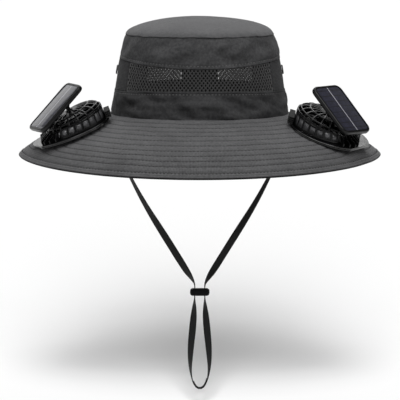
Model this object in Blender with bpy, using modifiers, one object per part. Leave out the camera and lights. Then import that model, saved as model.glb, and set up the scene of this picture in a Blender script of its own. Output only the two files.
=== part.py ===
"""Wide-brimmed sun hat with a net band, a chin strap and two solar fan units on its brim.

Metres, +Z up. The origin is the centre of the head opening, level with the seam between crown and brim.
The wearer looks along -Y, so -Y is the front of the hat and +X is on the right of someone who faces it.
"""

import bmesh
import bpy
from math import atan2, cos, pi, radians, sin, sqrt
from mathutils import Euler, Matrix, Vector

# Gap between pieces that touch on the real hat
CLEAR = 0.0003

# Crown: an oval that leans in, then rounds over into the tip
CROWN_HALF_WIDTH = 0.0888
OVAL_EXTRA = 0.0095
CROWN_LEAN = 0.158
SHOULDER_START = 0.050
SHOULDER_PULL = 0.0031
SHOULDER_POWER = 3.0
TIP_SEAM_HEIGHT = 0.08005
TIP_SEAM_WAVE = 0.00075
TIP_RISE = 0.0157
TIP_GAP = 0.0008
CLOTH = 0.0016
CROWN_COLUMNS = 44

# Net band between the two cloth bands
NET_TOP = 0.0522
NET_TOP_WAVE = -0.0028
NET_BOTTOM = 0.02565
NET_BOTTOM_WAVE = 0.00165
NET_THICK = 0.0010
NET_BAR = 0.0014
PANEL_SETBACK = 0.0004

# Panels round the net band, in degrees from the front towards the left
NET_PANELS = (
    # name, from, to, columns, rows, net
    ("mesh_front", -60, 60, 20, 2, True),
    ("side_panel_left", 60, 140, 9, 1, False),
    ("mesh_back_left", 140, 167, 5, 2, True),
    ("back_panel", 167, 193, 4, 1, False),
    ("mesh_back_right", 193, 220, 5, 2, True),
    ("side_panel_right", 220, 300, 9, 1, False),
)

# Brim: an oval ring that droops further at the front and the back than at the sides
BRIM_HALF_WIDTH = 0.1812
BRIM_HALF_DEPTH = 0.1920
BRIM_DROP_SIDE = 0.0415
BRIM_DROP_FRONT = 0.0507
BRIM_STRAIGHT_SHARE = 0.66
BRIM_CURL_SHARE = 0.34
BRIM_CURL_POWER = 5
BRIM_THICK = 0.0020
BRIM_COLUMNS = 56
BRIM_ROWS = 6
BINDING_WIDTH = 0.0045
BINDING_THICK = 0.0026
BINDING_GAP = 0.0009

# Snap studs on the sides of the net band
SNAP_RADIUS = 0.0048
SNAP_RISE = 0.0016
SNAP_HEIGHT = 0.0430
SNAP_TURN = 92

# Fan units: where the middle of each base sits on the brim, how it leans, and where its straight end is
FAN_PLACES = {
    # side: turn from the front and share of the brim's width, rise above the brim, side and front slope, end's turn
    -1: (68.2, 0.529, 0.0000, 20.8, 6.4, 14.0),
    1: (64.75, 0.5765, 0.0011, 16.7, 13.5, 29.0),
}
BASE_RADIUS = 0.0410
BASE_REACH = 0.0365
BASE_THICK = 0.0024
BASE_EDGE = 0.0007
SEAT_RADIUS = 0.0310
SEAT_FADE = 0.0090
SEAT_EDGE_SHARE = 0.80
PUSH_RADIUS = 0.0465
PUSH_FADE = 0.0230
POST_RADIUS = 0.0050
CLAMP_RADIUS = 0.0180
CLAMP_THICK = 0.0018
CLAMP_LIP = 0.0002

# Housing: a drum that rises to a slanted ring
DRUM_RADIUS = 0.0328
DRUM_SHIFT = 0.0054
FOOT_SPARE = 0.0010
RING_RADIUS = 0.0305
RING_SHIFT = 0.0080
RING_HEIGHT = 0.0086
RING_TILT = 8.8
DRUM_WALL = 0.0018
DRUM_SIDES = 20
FLANGE = 0.0012

# Guard over the fan: rings of a flat dome
CAGE_SIDES = 12
CAGE_WALL = 0.0015
CAGE_RIB = 0.0010
CAGE_RINGS = (
    # radius share of the ring, height above the ring's plane
    (1.00, 0.0000),
    (0.93, 0.0053),
    (0.66, 0.0094),
    (0.26, 0.0107),
)

# Rotor and its motor, on the ring's axis
ROTOR_BLADES = 5
ROTOR_HUB = 0.0085
ROTOR_HEIGHT = 0.0050
ROTOR_REACH = 0.0252
ROTOR_TOP = 0.0038
BLADE_TWIST = 18.0
MOTOR_RADIUS = 0.0085
MOTOR_HEIGHT = 0.0032
MOTOR_ARMS = 3
MOTOR_SPARE = 0.0031

# Louvred vent at the inner end of the drum
VENT_WIDTH = 0.0250
VENT_HEIGHT = 0.0078
VENT_OVERHANG = 0.0030
VENT_REACH = BASE_RADIUS + VENT_OVERHANG
VENT_DEPTH = 0.0120
VENT_SLOTS = 3
VENT_SLOT = 0.0012
VENT_CUT = 0.0020

# Solar panel on its ball
BALL_RADIUS = 0.0035
STUD_RADIUS = 0.0022
CUP_WALL = 0.0022
PANEL_LENGTH = 0.0610
PANEL_WIDTH = 0.0440
PANEL_THICK = 0.0050
PANEL_CORNER = 0.0075
PANEL_OFFSET = 0.0090
PANEL_FRAME = 0.0026
CELL_THICK = 0.0010
CELL_SINK = 0.0003
PANEL_POSES = {
    # azimuth forward of the side and tilt from level, in degrees
    -1: (20.0, 47.0),
    1: (38.0, 46.5),
}

# Chin strap: a flat tape; its left half from the crown seam to the foot of the loop
TAPE_WIDTH = 0.0070
TAPE_THICK = 0.0010
TAPE_STEP = 0.0080
STRAP_ROUTE = (
    # x, z, turn of the tape's face away from the front in degrees
    (-0.0845, 0.0080, 90),
    (-0.0859, 0.0000, 90),
    (-0.0862, -0.0120, 88),
    (-0.0848, -0.0260, 84),
    (-0.0805, -0.0410, 78),
    (-0.0752, -0.0530, 73),
    (-0.0688, -0.0656, 67),
    (-0.0605, -0.0815, 56),
    (-0.0512, -0.0978, 42),
    (-0.0412, -0.1140, 22),
    (-0.0312, -0.1299, 5),
    (-0.0217, -0.1452, 5),
    (-0.0140, -0.1575, 25),
    (-0.0084, -0.1660, 60),
    (-0.0053, -0.1720, 86),
    (-0.0050, -0.1770, 90),
    (-0.0050, -0.1820, 90),
    (-0.0051, -0.1875, 86),
    (-0.0055, -0.1960, 58),
    (-0.0064, -0.2080, 24),
    (-0.0076, -0.2210, 12),
    (-0.0088, -0.2340, 30),
    (-0.0095, -0.2470, 52),
    (-0.0093, -0.2580, 74),
    (-0.0076, -0.2680, 88),
    (-0.0043, -0.2750, 90),
    (0.0, -0.2772, 90),
)

# Slider: a flat bead with a slot for each side of the tape
SLIDER_WIDTH = 0.0195
SLIDER_HEIGHT = 0.0072
SLIDER_DEPTH = 0.0124
SLIDER_TOP = -0.1765
SLIDER_ROUND = 0.0028
SLOT_OFFSET = 0.0050
SLOT_ROOM = 0.0005

COLOURS = {
    # kind: colour, roughness, metallic
    "cloth": ((0.050, 0.050, 0.052), 0.9, 0.0),
    "net": ((0.012, 0.012, 0.013), 0.9, 0.0),
    "tape": ((0.018, 0.018, 0.019), 0.85, 0.0),
    "plastic": ((0.010, 0.010, 0.011), 0.3, 0.0),
    "cell": ((0.020, 0.022, 0.045), 0.15, 0.0),
    "snap": ((0.030, 0.030, 0.032), 0.35, 1.0),
}


def clear_scene():
    for obj in list(bpy.data.objects):
        bpy.data.objects.remove(obj, do_unlink=True)


def new_collection(name):
    collection = bpy.data.collections.new(name)
    bpy.context.scene.collection.children.link(collection)
    return collection


def material(kind):
    made = bpy.data.materials.get(kind)
    if made:
        return made
    colour, rough, metal = COLOURS[kind]
    made = bpy.data.materials.new(kind)
    made.use_nodes = True
    shader = made.node_tree.nodes["Principled BSDF"]
    shader.inputs["Base Color"].default_value = (*colour, 1.0)
    shader.inputs["Roughness"].default_value = rough
    shader.inputs["Metallic"].default_value = metal
    return made


def piece(name, bm, kind, parent=None):
    """Makes an object of a bmesh, in the hat's collection."""
    mesh = bpy.data.meshes.new(name)
    bm.to_mesh(mesh)
    bm.free()
    mesh.materials.append(material(kind))
    mesh.shade_smooth()
    mesh.set_sharp_from_angle(angle=radians(35))
    obj = bpy.data.objects.new(name, mesh)
    HAT.objects.link(obj)
    obj.parent = parent
    return obj


def cutter(name, bm, parent=None):
    """Makes a guide that only cuts other pieces."""
    mesh = bpy.data.meshes.new(name)
    bm.to_mesh(mesh)
    bm.free()
    obj = bpy.data.objects.new(name, mesh)
    CUTTERS.objects.link(obj)
    obj.parent = parent
    obj.hide_render = True
    obj.display_type = "WIRE"
    return obj


def cut(obj, tool, operation="DIFFERENCE"):
    boolean = obj.modifiers.new(operation.title(), "BOOLEAN")
    boolean.operation = operation
    boolean.solver = "EXACT"
    boolean.object = tool


def solidify(obj, thick, offset=-1.0):
    wall = obj.modifiers.new("Solidify", "SOLIDIFY")
    wall.thickness = thick
    wall.offset = offset
    wall.use_even_offset = True


def box(size, centre):
    bm = bmesh.new()
    bmesh.ops.create_cube(bm, size=1.0)
    bmesh.ops.scale(bm, vec=size, verts=bm.verts)
    bmesh.ops.translate(bm, vec=centre, verts=bm.verts)
    return bm


def cylinder(radius, bottom, top, sides):
    bm = bmesh.new()
    bmesh.ops.create_cone(bm, cap_ends=True, segments=sides, radius1=radius, radius2=radius, depth=top - bottom)
    bmesh.ops.translate(bm, vec=(0, 0, (top + bottom) / 2), verts=bm.verts)
    return bm


def smooth_step(low, high, value):
    share = min(max((value - low) / (high - low), 0.0), 1.0)
    return share * share * (3 - 2 * share)


def sheet(name, kind, place, columns, rows, inside, thick, ring=False, bar=0.0):
    """An open grid laid on a surface and given a wall. place maps two shares from 0 to 1 to a point.

    inside is a point on the inner side of the sheet. A bar opens each cell of the grid, leaving bars of that width.
    """
    bm = bmesh.new()
    bmesh.ops.create_grid(bm, x_segments=columns, y_segments=rows, size=0.5)
    for vert in bm.verts:
        vert.co = place(vert.co.x + 0.5, vert.co.y + 0.5)
    if ring:
        bmesh.ops.remove_doubles(bm, verts=bm.verts, dist=1e-6)
    bm.normal_update()
    outward = sum(f.normal.dot(f.calc_center_median() - Vector(inside)) for f in bm.faces)
    if outward < 0:
        bmesh.ops.reverse_faces(bm, faces=bm.faces)
    if bar:
        open_cells(bm, list(bm.faces), bar)
    obj = piece(name, bm, kind)
    solidify(obj, thick)
    return obj


def open_cells(bm, faces, bar):
    """Leaves a frame half a bar wide round each face and takes its middle out."""
    bmesh.ops.inset_individual(bm, faces=faces, thickness=bar / 2, use_even_offset=True)
    bmesh.ops.delete(bm, geom=faces, context="FACES")


def crown_half_width(z):
    over = max(z - SHOULDER_START, 0.0) / (TIP_SEAM_HEIGHT - SHOULDER_START)
    return CROWN_HALF_WIDTH - CROWN_LEAN * z - SHOULDER_PULL * over**SHOULDER_POWER


def crown_point(turn, z, set_in=0.0):
    """A point on the crown's outside, turned from the front towards the left."""
    half = crown_half_width(z) - set_in
    return Vector((-half * sin(turn), -(half + OVAL_EXTRA) * cos(turn), z))


def wave(level, swing, turn):
    return level + swing * cos(2 * turn)


def crown_band(name, low, low_wave, high, high_wave, rows):
    def place(u, v):
        turn = 2 * pi * u
        bottom = wave(low, low_wave, turn)
        top = wave(high, high_wave, turn)
        return crown_point(turn, bottom + (top - bottom) * v)

    return sheet(name, "cloth", place, CROWN_COLUMNS, rows, (0, 0, low), CLOTH, ring=True)


def crown_tip():
    """The domed top: a quarter of an ellipse turned round the oval."""

    def place(u, v):
        turn = 2 * pi * u
        seam = wave(TIP_SEAM_HEIGHT, TIP_SEAM_WAVE, turn) + TIP_GAP
        rise = TIP_SEAM_HEIGHT + TIP_RISE - seam
        bend = v * pi / 2
        rim = crown_point(turn, seam)
        return Vector((rim.x * cos(bend), rim.y * cos(bend), seam + rise * sin(bend)))

    return sheet("crown_tip", "cloth", place, CROWN_COLUMNS, 4, (0, 0, 0), CLOTH, ring=True)


def net_band():
    for name, start, end, columns, rows, net in NET_PANELS:
        gap = CLEAR / 2 / CROWN_HALF_WIDTH
        first = radians(start) + gap
        last = radians(end) - gap

        def place(u, v, first=first, last=last):
            turn = first + (last - first) * u
            bottom = wave(NET_BOTTOM, NET_BOTTOM_WAVE, turn) + CLEAR
            top = wave(NET_TOP, NET_TOP_WAVE, turn) - CLEAR
            return crown_point(turn, bottom + (top - bottom) * v, PANEL_SETBACK)

        if net:
            sheet(name, "net", place, columns, rows, (0, 0, NET_BOTTOM), NET_THICK, bar=NET_BAR)
        else:
            sheet(name, "cloth", place, columns, rows, (0, 0, NET_BOTTOM), CLOTH - PANEL_SETBACK)


def fan_frame(side):
    """The frame of a fan unit: its origin is on the brim, its z stands on the base."""
    turn, share, rise, side_slope, front_slope, end_turn = FAN_PLACES[side]
    centre = free_brim_point(-side * radians(turn), share) + Vector((0, 0, rise))
    lean = Euler((radians(front_slope), side * radians(side_slope), 0)).to_matrix().to_4x4()
    return Matrix.Translation(centre) @ lean


def ring_frame(side):
    """The frame of the fan's slanted ring, in the frame of its unit."""
    tilt = Matrix.Rotation(side * radians(RING_TILT), 4, "Y")
    return Matrix.Translation((-side * RING_SHIFT, 0, BASE_THICK + RING_HEIGHT)) @ tilt


def seat_level(x, y):
    """The height of the fan base's underside over a point in plan."""
    side = 1 if x > 0 else -1
    frame = fan_frame(side)
    normal = frame.to_3x3() @ Vector((0, 0, 1))
    centre = frame.translation
    away = Vector((x - centre.x, y - centre.y))
    return centre.z - CLEAR - (normal.x * away.x + normal.y * away.y) / normal.z, away.length


def free_brim_point(turn, share):
    """The top of the brim without its fans: share 0 is the seam and share 1 the edge."""
    half = CROWN_HALF_WIDTH + (BRIM_HALF_WIDTH - CROWN_HALF_WIDTH) * share
    depth = CROWN_HALF_WIDTH + OVAL_EXTRA
    depth += (BRIM_HALF_DEPTH - depth) * share
    x = -half * sin(turn)
    y = -depth * cos(turn)
    lobe = sqrt(cos(turn) ** 2 + 0.04) - 0.2
    drop = BRIM_DROP_SIDE + (BRIM_DROP_FRONT - BRIM_DROP_SIDE) * lobe / (sqrt(1.04) - 0.2)
    fall = max(share, 0.0)
    return Vector((x, y, -drop * (BRIM_STRAIGHT_SHARE * fall + BRIM_CURL_SHARE * fall**BRIM_CURL_POWER)))


def brim_point(turn, share):
    """The top of the brim, flat under each fan's base."""
    x, y, z = free_brim_point(turn, share)
    level, away = seat_level(x, y)
    if level > z:
        lift = 1 - smooth_step(SEAT_RADIUS, SEAT_RADIUS + SEAT_FADE, away)
        z += (level - z) * lift * (1 - smooth_step(SEAT_EDGE_SHARE, 1, share))
    else:
        z += (level - z) * (1 - smooth_step(PUSH_RADIUS, PUSH_RADIUS + PUSH_FADE, away)) * smooth_step(0, 0.06, share)
    return Vector((x, y, z))


def brim():
    width = BRIM_HALF_WIDTH - CROWN_HALF_WIDTH
    inner = -CLOTH / width
    outer = 1 - BINDING_WIDTH / width

    def place(u, v):
        return brim_point(2 * pi * u, inner + (outer - inner) * v)

    made = sheet("brim", "cloth", place, BRIM_COLUMNS, BRIM_ROWS, (0, 0, -1), BRIM_THICK, ring=True)
    for side in (-1, 1):
        hole = cutter(f"brim_hole_{side_name(side)}", cylinder(POST_RADIUS + CLEAR, -0.012, 0.012, 16))
        hole.matrix_world = fan_frame(side)
        cut(made, hole)

    def edge(u, v):
        start = outer + BINDING_GAP / width
        return brim_point(2 * pi * u, start + (1 - start) * v) + Vector((0, 0, (BINDING_THICK - BRIM_THICK) / 2))

    sheet("brim_binding", "cloth", edge, BRIM_COLUMNS, 1, (0, 0, -1), BINDING_THICK, ring=True)


def side_name(side):
    return "right" if side > 0 else "left"


def side_snaps():
    for side in (-1, 1):
        bm = cylinder(SNAP_RADIUS, 0, SNAP_RISE, 14)
        top = [e for e in bm.edges if all(v.co.z > SNAP_RISE / 2 for v in e.verts)]
        bmesh.ops.bevel(
            bm, geom=top, offset=SNAP_RISE * 0.6, segments=2, profile=0.5, affect="EDGES", material=-1
        )
        obj = piece(f"side_snap_{side_name(side)}", bm, "snap")
        turn = radians(-side * SNAP_TURN)
        point = crown_point(turn, SNAP_HEIGHT, PANEL_SETBACK - CLEAR)
        obj.location = point
        outward = Vector((point.x / crown_half_width(SNAP_HEIGHT), 0, CROWN_LEAN)).normalized()
        obj.rotation_euler = outward.to_track_quat("Z", "Y").to_euler()


def drum_loop(bm, matrix, radius, centre):
    made = bmesh.ops.create_circle(bm, segments=DRUM_SIDES, radius=radius)["verts"]
    bmesh.ops.translate(bm, vec=centre, verts=made)
    bmesh.ops.transform(bm, matrix=matrix, verts=made)
    return made


def drum_shell(side, spare=0.0):
    """The outside of the drum, from its foot on the base to the slanted ring."""
    bm = bmesh.new()
    foot = [v.co.copy() for v in drum_loop(bm, Matrix(), DRUM_RADIUS + spare, (-side * DRUM_SHIFT, 0, 0))]
    for co in foot:
        co.z = BASE_THICK - FOOT_SPARE
    rim_matrix = ring_frame(side)
    rim = [v.co.copy() for v in drum_loop(bm, rim_matrix, RING_RADIUS + spare, (0, 0, FOOT_SPARE - FLANGE))]
    bm.clear()
    loops = []
    for share in (0.0, 1.0):
        verts = [bm.verts.new(a.lerp(b, share)) for a, b in zip(foot, rim)]
        loops.append([bm.edges.new((verts[i], verts[(i + 1) % DRUM_SIDES])) for i in range(DRUM_SIDES)])
    for low, high in zip(loops, loops[1:]):
        bmesh.ops.bridge_loops(bm, edges=low + high)
    bmesh.ops.recalc_face_normals(bm, faces=bm.faces)
    centre = Vector((0, 0, BASE_THICK + RING_HEIGHT / 2))
    if sum(f.normal.dot(f.calc_center_median() - centre) for f in bm.faces) < 0:
        bmesh.ops.reverse_faces(bm, faces=bm.faces)
    return bm


def fan_housing(side, unit):
    obj = piece(f"fan_housing_{side_name(side)}", drum_shell(side), "plastic", unit)
    solidify(obj, DRUM_WALL)
    below = cylinder(BASE_RADIUS * 1.2, -DRUM_RADIUS / 2, BASE_THICK + CLEAR, 12)
    cut(obj, cutter(f"housing_foot_{side_name(side)}", below, unit))
    above = cutter(
        f"housing_rim_{side_name(side)}", cylinder(RING_RADIUS * 1.2, -FLANGE - CLEAR, RING_RADIUS / 2, 12), unit
    )
    above.matrix_local = ring_frame(side)
    cut(obj, above)


def fan_base(side, unit):
    bm = cylinder(BASE_RADIUS, 0, BASE_THICK, 30)
    end_turn = radians(FAN_PLACES[side][-1])
    end = Vector((side * cos(end_turn), -sin(end_turn), 0))
    bmesh.ops.bisect_plane(
        bm, geom=bm.verts[:] + bm.edges[:] + bm.faces[:], plane_co=end * BASE_REACH, plane_no=end, clear_outer=True
    )
    bmesh.ops.holes_fill(bm, edges=[e for e in bm.edges if e.is_boundary])
    rims = [e for e in bm.edges if abs(e.verts[0].co.z - e.verts[1].co.z) < 1e-6]
    bmesh.ops.bevel(bm, geom=rims, offset=BASE_EDGE, segments=1, profile=0.5, affect="EDGES", material=-1)
    piece(f"fan_base_{side_name(side)}", bm, "plastic", unit)


def fan_clamp(side, unit):
    """The plain disc and post under the brim that hold the unit."""
    below = -CLEAR - BRIM_THICK - CLEAR - CLAMP_LIP
    bm = cylinder(CLAMP_RADIUS, below - CLAMP_THICK, below, 16)
    top = [f for f in bm.faces if f.calc_center_median().z > below - 1e-5]
    inset = CLAMP_RADIUS - POST_RADIUS
    bmesh.ops.inset_region(bm, faces=top, thickness=inset)
    post = bmesh.ops.extrude_discrete_faces(bm, faces=top)["faces"][0]
    bmesh.ops.translate(bm, vec=(0, 0, -below - CLEAR), verts=post.verts)
    piece(f"fan_clamp_{side_name(side)}", bm, "plastic", unit)


def fan_cage(side, unit):
    """A flat dome of ribs and rings, with a solid hub in the middle and a flange on the drum."""
    bm = bmesh.new()
    profile = [(RING_RADIUS * share, height) for share, height in CAGE_RINGS]
    profile.insert(0, (RING_RADIUS, -FLANGE))
    verts = [bm.verts.new((radius, 0, height)) for radius, height in profile]
    edges = [bm.edges.new(pair) for pair in zip(verts, verts[1:])]
    bmesh.ops.spin(
        bm, geom=verts + edges, cent=(0, 0, 0), axis=(0, 0, 1), angle=2 * pi, steps=CAGE_SIDES, use_merge=True
    )
    bmesh.ops.remove_doubles(bm, verts=bm.verts, dist=1e-6)
    hub = [e for e in bm.edges if e.is_boundary and e.verts[0].co.z > CAGE_RINGS[-2][1]]
    bmesh.ops.holes_fill(bm, edges=hub, sides=CAGE_SIDES)
    bmesh.ops.recalc_face_normals(bm, faces=bm.faces)
    if sum(f.normal.z for f in bm.faces) < 0:
        bmesh.ops.reverse_faces(bm, faces=bm.faces)
    panes = [f for f in bm.faces if len(f.verts) == 4 and f.calc_center_median().z > 0]
    open_cells(bm, panes, CAGE_RIB * 2)
    obj = piece(f"fan_cage_{side_name(side)}", bm, "plastic", unit)
    obj.matrix_local = ring_frame(side)
    solidify(obj, CAGE_WALL)


def spokes(radius, bottom, top, sides, step, reach, twist, thin):
    """A hub whose every step-th side face is drawn out into a blade or an arm."""
    bm = cylinder(radius, bottom, top, sides)
    bm.normal_update()
    flat = [f for f in bm.faces if len(f.verts) == 4]
    flat.sort(key=lambda f: atan2(f.calc_center_median().y, f.calc_center_median().x))
    middle = (top + bottom) / 2
    for face in flat[::step]:
        outward = face.normal.copy()
        face = bmesh.ops.extrude_discrete_faces(bm, faces=[face])["faces"][0]
        squash = Matrix.Diagonal((1, 1, thin, 1))
        lift = Matrix.Translation((0, 0, middle))
        bmesh.ops.transform(bm, matrix=lift @ squash @ lift.inverted(), verts=face.verts)
        bmesh.ops.translate(bm, vec=outward * (reach - radius) * 0.15, verts=face.verts)
        face = bmesh.ops.extrude_discrete_faces(bm, faces=[face])["faces"][0]
        bmesh.ops.translate(bm, vec=outward * (reach - radius) * 0.85, verts=face.verts)
        centre = face.calc_center_median()
        turn = Matrix.Translation(centre) @ Matrix.Rotation(radians(twist), 4, outward)
        bmesh.ops.transform(bm, matrix=turn @ Matrix.Translation(-centre), verts=face.verts)
        if twist:
            bmesh.ops.scale(
                bm, vec=(2.6, 2.6, 2.6), space=Matrix.Translation(-centre), verts=face.verts
            )
            for vert in face.verts:
                vert.co -= outward * (vert.co - centre).dot(outward)
    return bm


def fan_rotor(side, unit):
    bm = spokes(
        ROTOR_HUB, ROTOR_TOP - ROTOR_HEIGHT, ROTOR_TOP, ROTOR_BLADES * 3, 3, ROTOR_REACH, side * BLADE_TWIST, 0.22
    )
    obj = piece(f"fan_rotor_{side_name(side)}", bm, "plastic", unit)
    obj.matrix_local = ring_frame(side)


def fan_motor(side, unit):
    top = ROTOR_TOP - ROTOR_HEIGHT - CLEAR
    reach = RING_RADIUS - DRUM_WALL - MOTOR_SPARE
    bm = spokes(MOTOR_RADIUS, top - MOTOR_HEIGHT, top, MOTOR_ARMS * 5, 5, reach, 0, 0.4)
    obj = piece(f"fan_motor_{side_name(side)}", bm, "plastic", unit)
    obj.matrix_local = ring_frame(side) @ Matrix.Rotation(pi * (side < 0), 4, "Z")


def fan_vent(side, unit):
    low = BASE_THICK + CLEAR
    middle = -side * (VENT_REACH - VENT_DEPTH / 2)
    bm = box((VENT_DEPTH, VENT_WIDTH, VENT_HEIGHT), (middle, 0, low + VENT_HEIGHT / 2))
    obj = piece(f"fan_vent_{side_name(side)}", bm, "plastic", unit)
    shell = drum_shell(side, CLEAR * 2)
    rims = [e for e in shell.edges if e.is_boundary]
    bmesh.ops.holes_fill(shell, edges=rims, sides=DRUM_SIDES)
    drum = cutter(f"vent_back_{side_name(side)}", shell, unit)
    cut(obj, drum)
    for row in range(VENT_SLOTS):
        level = low + VENT_HEIGHT * (row + 1) / (VENT_SLOTS + 1)
        size = (VENT_CUT * 2, VENT_WIDTH * 0.8, VENT_SLOT)
        slot = cutter(
            f"vent_slot_{side_name(side)}_{row}", box(size, (-side * VENT_REACH, 0, level)), unit
        )
        cut(obj, slot)


def ball_centre():
    """Where the panel's ball is on the ring's axis."""
    return CAGE_RINGS[-1][1] + CLEAR + STUD_RADIUS + BALL_RADIUS


def panel_axes(side):
    """The panel's frame: x runs downhill, y across and z out of its face, round the ball's centre."""
    azimuth, tilt = (radians(a) for a in PANEL_POSES[side])
    face = Vector((side * sin(tilt) * cos(azimuth), -sin(tilt) * sin(azimuth), cos(tilt)))
    down = Vector((side * cos(tilt) * cos(azimuth), -cos(tilt) * sin(azimuth), -sin(tilt)))
    turn = Matrix((down, face.cross(down), face)).transposed().to_4x4()
    centre = fan_frame(side) @ ring_frame(side) @ Vector((0, 0, ball_centre()))
    return Matrix.Translation(centre) @ turn


def panel_post(side, unit):
    """A stud on the hub of the cage, with the ball that carries the panel."""
    foot = CAGE_RINGS[-1][1] + CLEAR
    bm = cylinder(STUD_RADIUS * 1.8, foot, foot + STUD_RADIUS * 0.5, 14)
    obj = piece(f"panel_post_{side_name(side)}", bm, "plastic", unit)
    obj.matrix_local = ring_frame(side)
    neck = cutter(f"post_neck_{side_name(side)}", cylinder(STUD_RADIUS, foot + 0.0002, ball_centre(), 12), unit)
    neck.matrix_local = ring_frame(side)
    ball = bmesh.new()
    bmesh.ops.create_uvsphere(ball, u_segments=10, v_segments=6, radius=BALL_RADIUS)
    bmesh.ops.translate(ball, vec=(0, 0, ball_centre()), verts=ball.verts)
    ball = cutter(f"post_ball_{side_name(side)}", ball, unit)
    ball.matrix_local = ring_frame(side)
    cut(obj, neck, "UNION")
    cut(obj, ball, "UNION")


def panel_block(length, width, bottom, top, corner):
    bm = box((length, width, top - bottom), (PANEL_OFFSET, 0, (top + bottom) / 2))
    upright = [e for e in bm.edges if abs(e.verts[0].co.z - e.verts[1].co.z) > 1e-6]
    bmesh.ops.bevel(bm, geom=upright, offset=corner, segments=4, profile=0.5, affect="EDGES", material=-1)
    return bm


def solar_panel(side):
    """The tray with its cup round the ball, and the cell set into it."""
    frame = panel_axes(side)
    carrier = bpy.data.objects.new(f"panel_{side_name(side)}", None)
    HAT.objects.link(carrier)
    carrier.matrix_world = frame
    bottom = BALL_RADIUS + CLEAR * 2
    top = bottom + PANEL_THICK
    bm = panel_block(PANEL_LENGTH, PANEL_WIDTH, bottom, top, PANEL_CORNER)
    bm.normal_update()
    face = max(bm.faces, key=lambda f: f.calc_center_median().z)
    bmesh.ops.inset_region(bm, faces=[face], thickness=PANEL_FRAME)
    recess = CELL_THICK + CELL_SINK + CLEAR
    made = bmesh.ops.extrude_face_region(bm, geom=[face])
    bmesh.ops.translate(bm, vec=(0, 0, -recess), verts=[g for g in made["geom"] if isinstance(g, bmesh.types.BMVert)])
    bmesh.ops.delete(bm, geom=[face], context="FACES")
    obj = piece(f"panel_frame_{side_name(side)}", bm, "plastic", carrier)
    cup = cylinder(BALL_RADIUS + CUP_WALL, 0, bottom + PANEL_THICK / 4, 16)
    cut(obj, cutter(f"panel_cup_{side_name(side)}", cup, carrier), "UNION")
    hollow = bmesh.new()
    bmesh.ops.create_uvsphere(hollow, u_segments=12, v_segments=8, radius=BALL_RADIUS + CLEAR)
    cut(obj, cutter(f"panel_hollow_{side_name(side)}", hollow, carrier))
    inner = PANEL_FRAME + CLEAR
    cell = panel_block(
        PANEL_LENGTH - inner * 2, PANEL_WIDTH - inner * 2, top - CELL_SINK - CELL_THICK, top - CELL_SINK,
        PANEL_CORNER - inner
    )
    piece(f"solar_cell_{side_name(side)}", cell, "cell", carrier)


def fan_unit(side):
    unit = bpy.data.objects.new(f"fan_{side_name(side)}", None)
    HAT.objects.link(unit)
    unit.matrix_world = fan_frame(side)
    fan_base(side, unit)
    fan_clamp(side, unit)
    fan_housing(side, unit)
    fan_vent(side, unit)
    fan_cage(side, unit)
    fan_rotor(side, unit)
    fan_motor(side, unit)
    panel_post(side, unit)
    solar_panel(side)


def smooth_route(points, step):
    """Points a step apart on a smooth curve through a route; each point also carries its turn."""
    dense = []
    for i in range(len(points) - 1):
        a, b, c, d = (points[min(max(i + k, 0), len(points) - 1)] for k in (-1, 0, 1, 2))
        for k in range(8):
            u = k / 8
            dense.append(
                0.5 * ((2 * b) + (c - a) * u + (2 * a - 5 * b + 4 * c - d) * u * u + (3 * b - a - 3 * c + d) * u**3)
            )
    dense.append(points[-1])
    lengths = [0.0]
    for a, b in zip(dense, dense[1:]):
        lengths.append(lengths[-1] + (b - a).xyz.length)
    count = round(lengths[-1] / step)
    out = []
    at = 0
    for i in range(count + 1):
        want = lengths[-1] * i / count
        while at < len(lengths) - 2 and lengths[at + 1] < want:
            at += 1
        share = (want - lengths[at]) / (lengths[at + 1] - lengths[at])
        out.append(dense[at].lerp(dense[at + 1], share))
    return out


def chin_strap():
    half = [Vector((x, 0, z, radians(turn))) for x, z, turn in STRAP_ROUTE]
    whole = half + [Vector((-p.x, 0, p.z, pi - p.w)) for p in reversed(half[:-1])]
    points = smooth_route(whole, TAPE_STEP)
    bm = bmesh.new()
    section = []
    for i, point in enumerate(points):
        ahead = points[min(i + 1, len(points) - 1)]
        behind = points[max(i - 1, 0)]
        along = (ahead - behind).xyz.normalized()
        side = Vector((0, 1, 0)).cross(along).normalized()
        across = side * cos(point.w) + Vector((0, 1, 0)) * sin(point.w)
        thick = along.cross(across)
        corners = [
            point.xyz + across * (a * TAPE_WIDTH / 2) + thick * (b * TAPE_THICK / 2)
            for a, b in ((-1, -1), (1, -1), (1, 1), (-1, 1))
        ]
        verts = [bm.verts.new(co) for co in corners]
        if section:
            for k in range(4):
                bm.faces.new((section[k], section[(k + 1) % 4], verts[(k + 1) % 4], verts[k]))
        else:
            bm.faces.new(verts)
        section = verts
    bm.faces.new(section)
    bmesh.ops.recalc_face_normals(bm, faces=bm.faces)
    piece("chin_strap", bm, "tape")


def strap_slider():
    middle = SLIDER_TOP - SLIDER_HEIGHT / 2
    bm = box((SLIDER_WIDTH, SLIDER_DEPTH, SLIDER_HEIGHT), (0, 0, middle))
    bmesh.ops.bevel(
        bm, geom=list(bm.edges), offset=SLIDER_ROUND, segments=3, profile=0.5, affect="EDGES", material=-1
    )
    obj = piece("strap_slider", bm, "plastic")
    for side in (-1, 1):
        size = (TAPE_THICK + SLOT_ROOM * 2, TAPE_WIDTH + SLOT_ROOM * 2, SLIDER_HEIGHT * 2)
        cut(obj, cutter(f"slider_slot_{side_name(side)}", box(size, (side * SLOT_OFFSET, 0, middle))))


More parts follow.
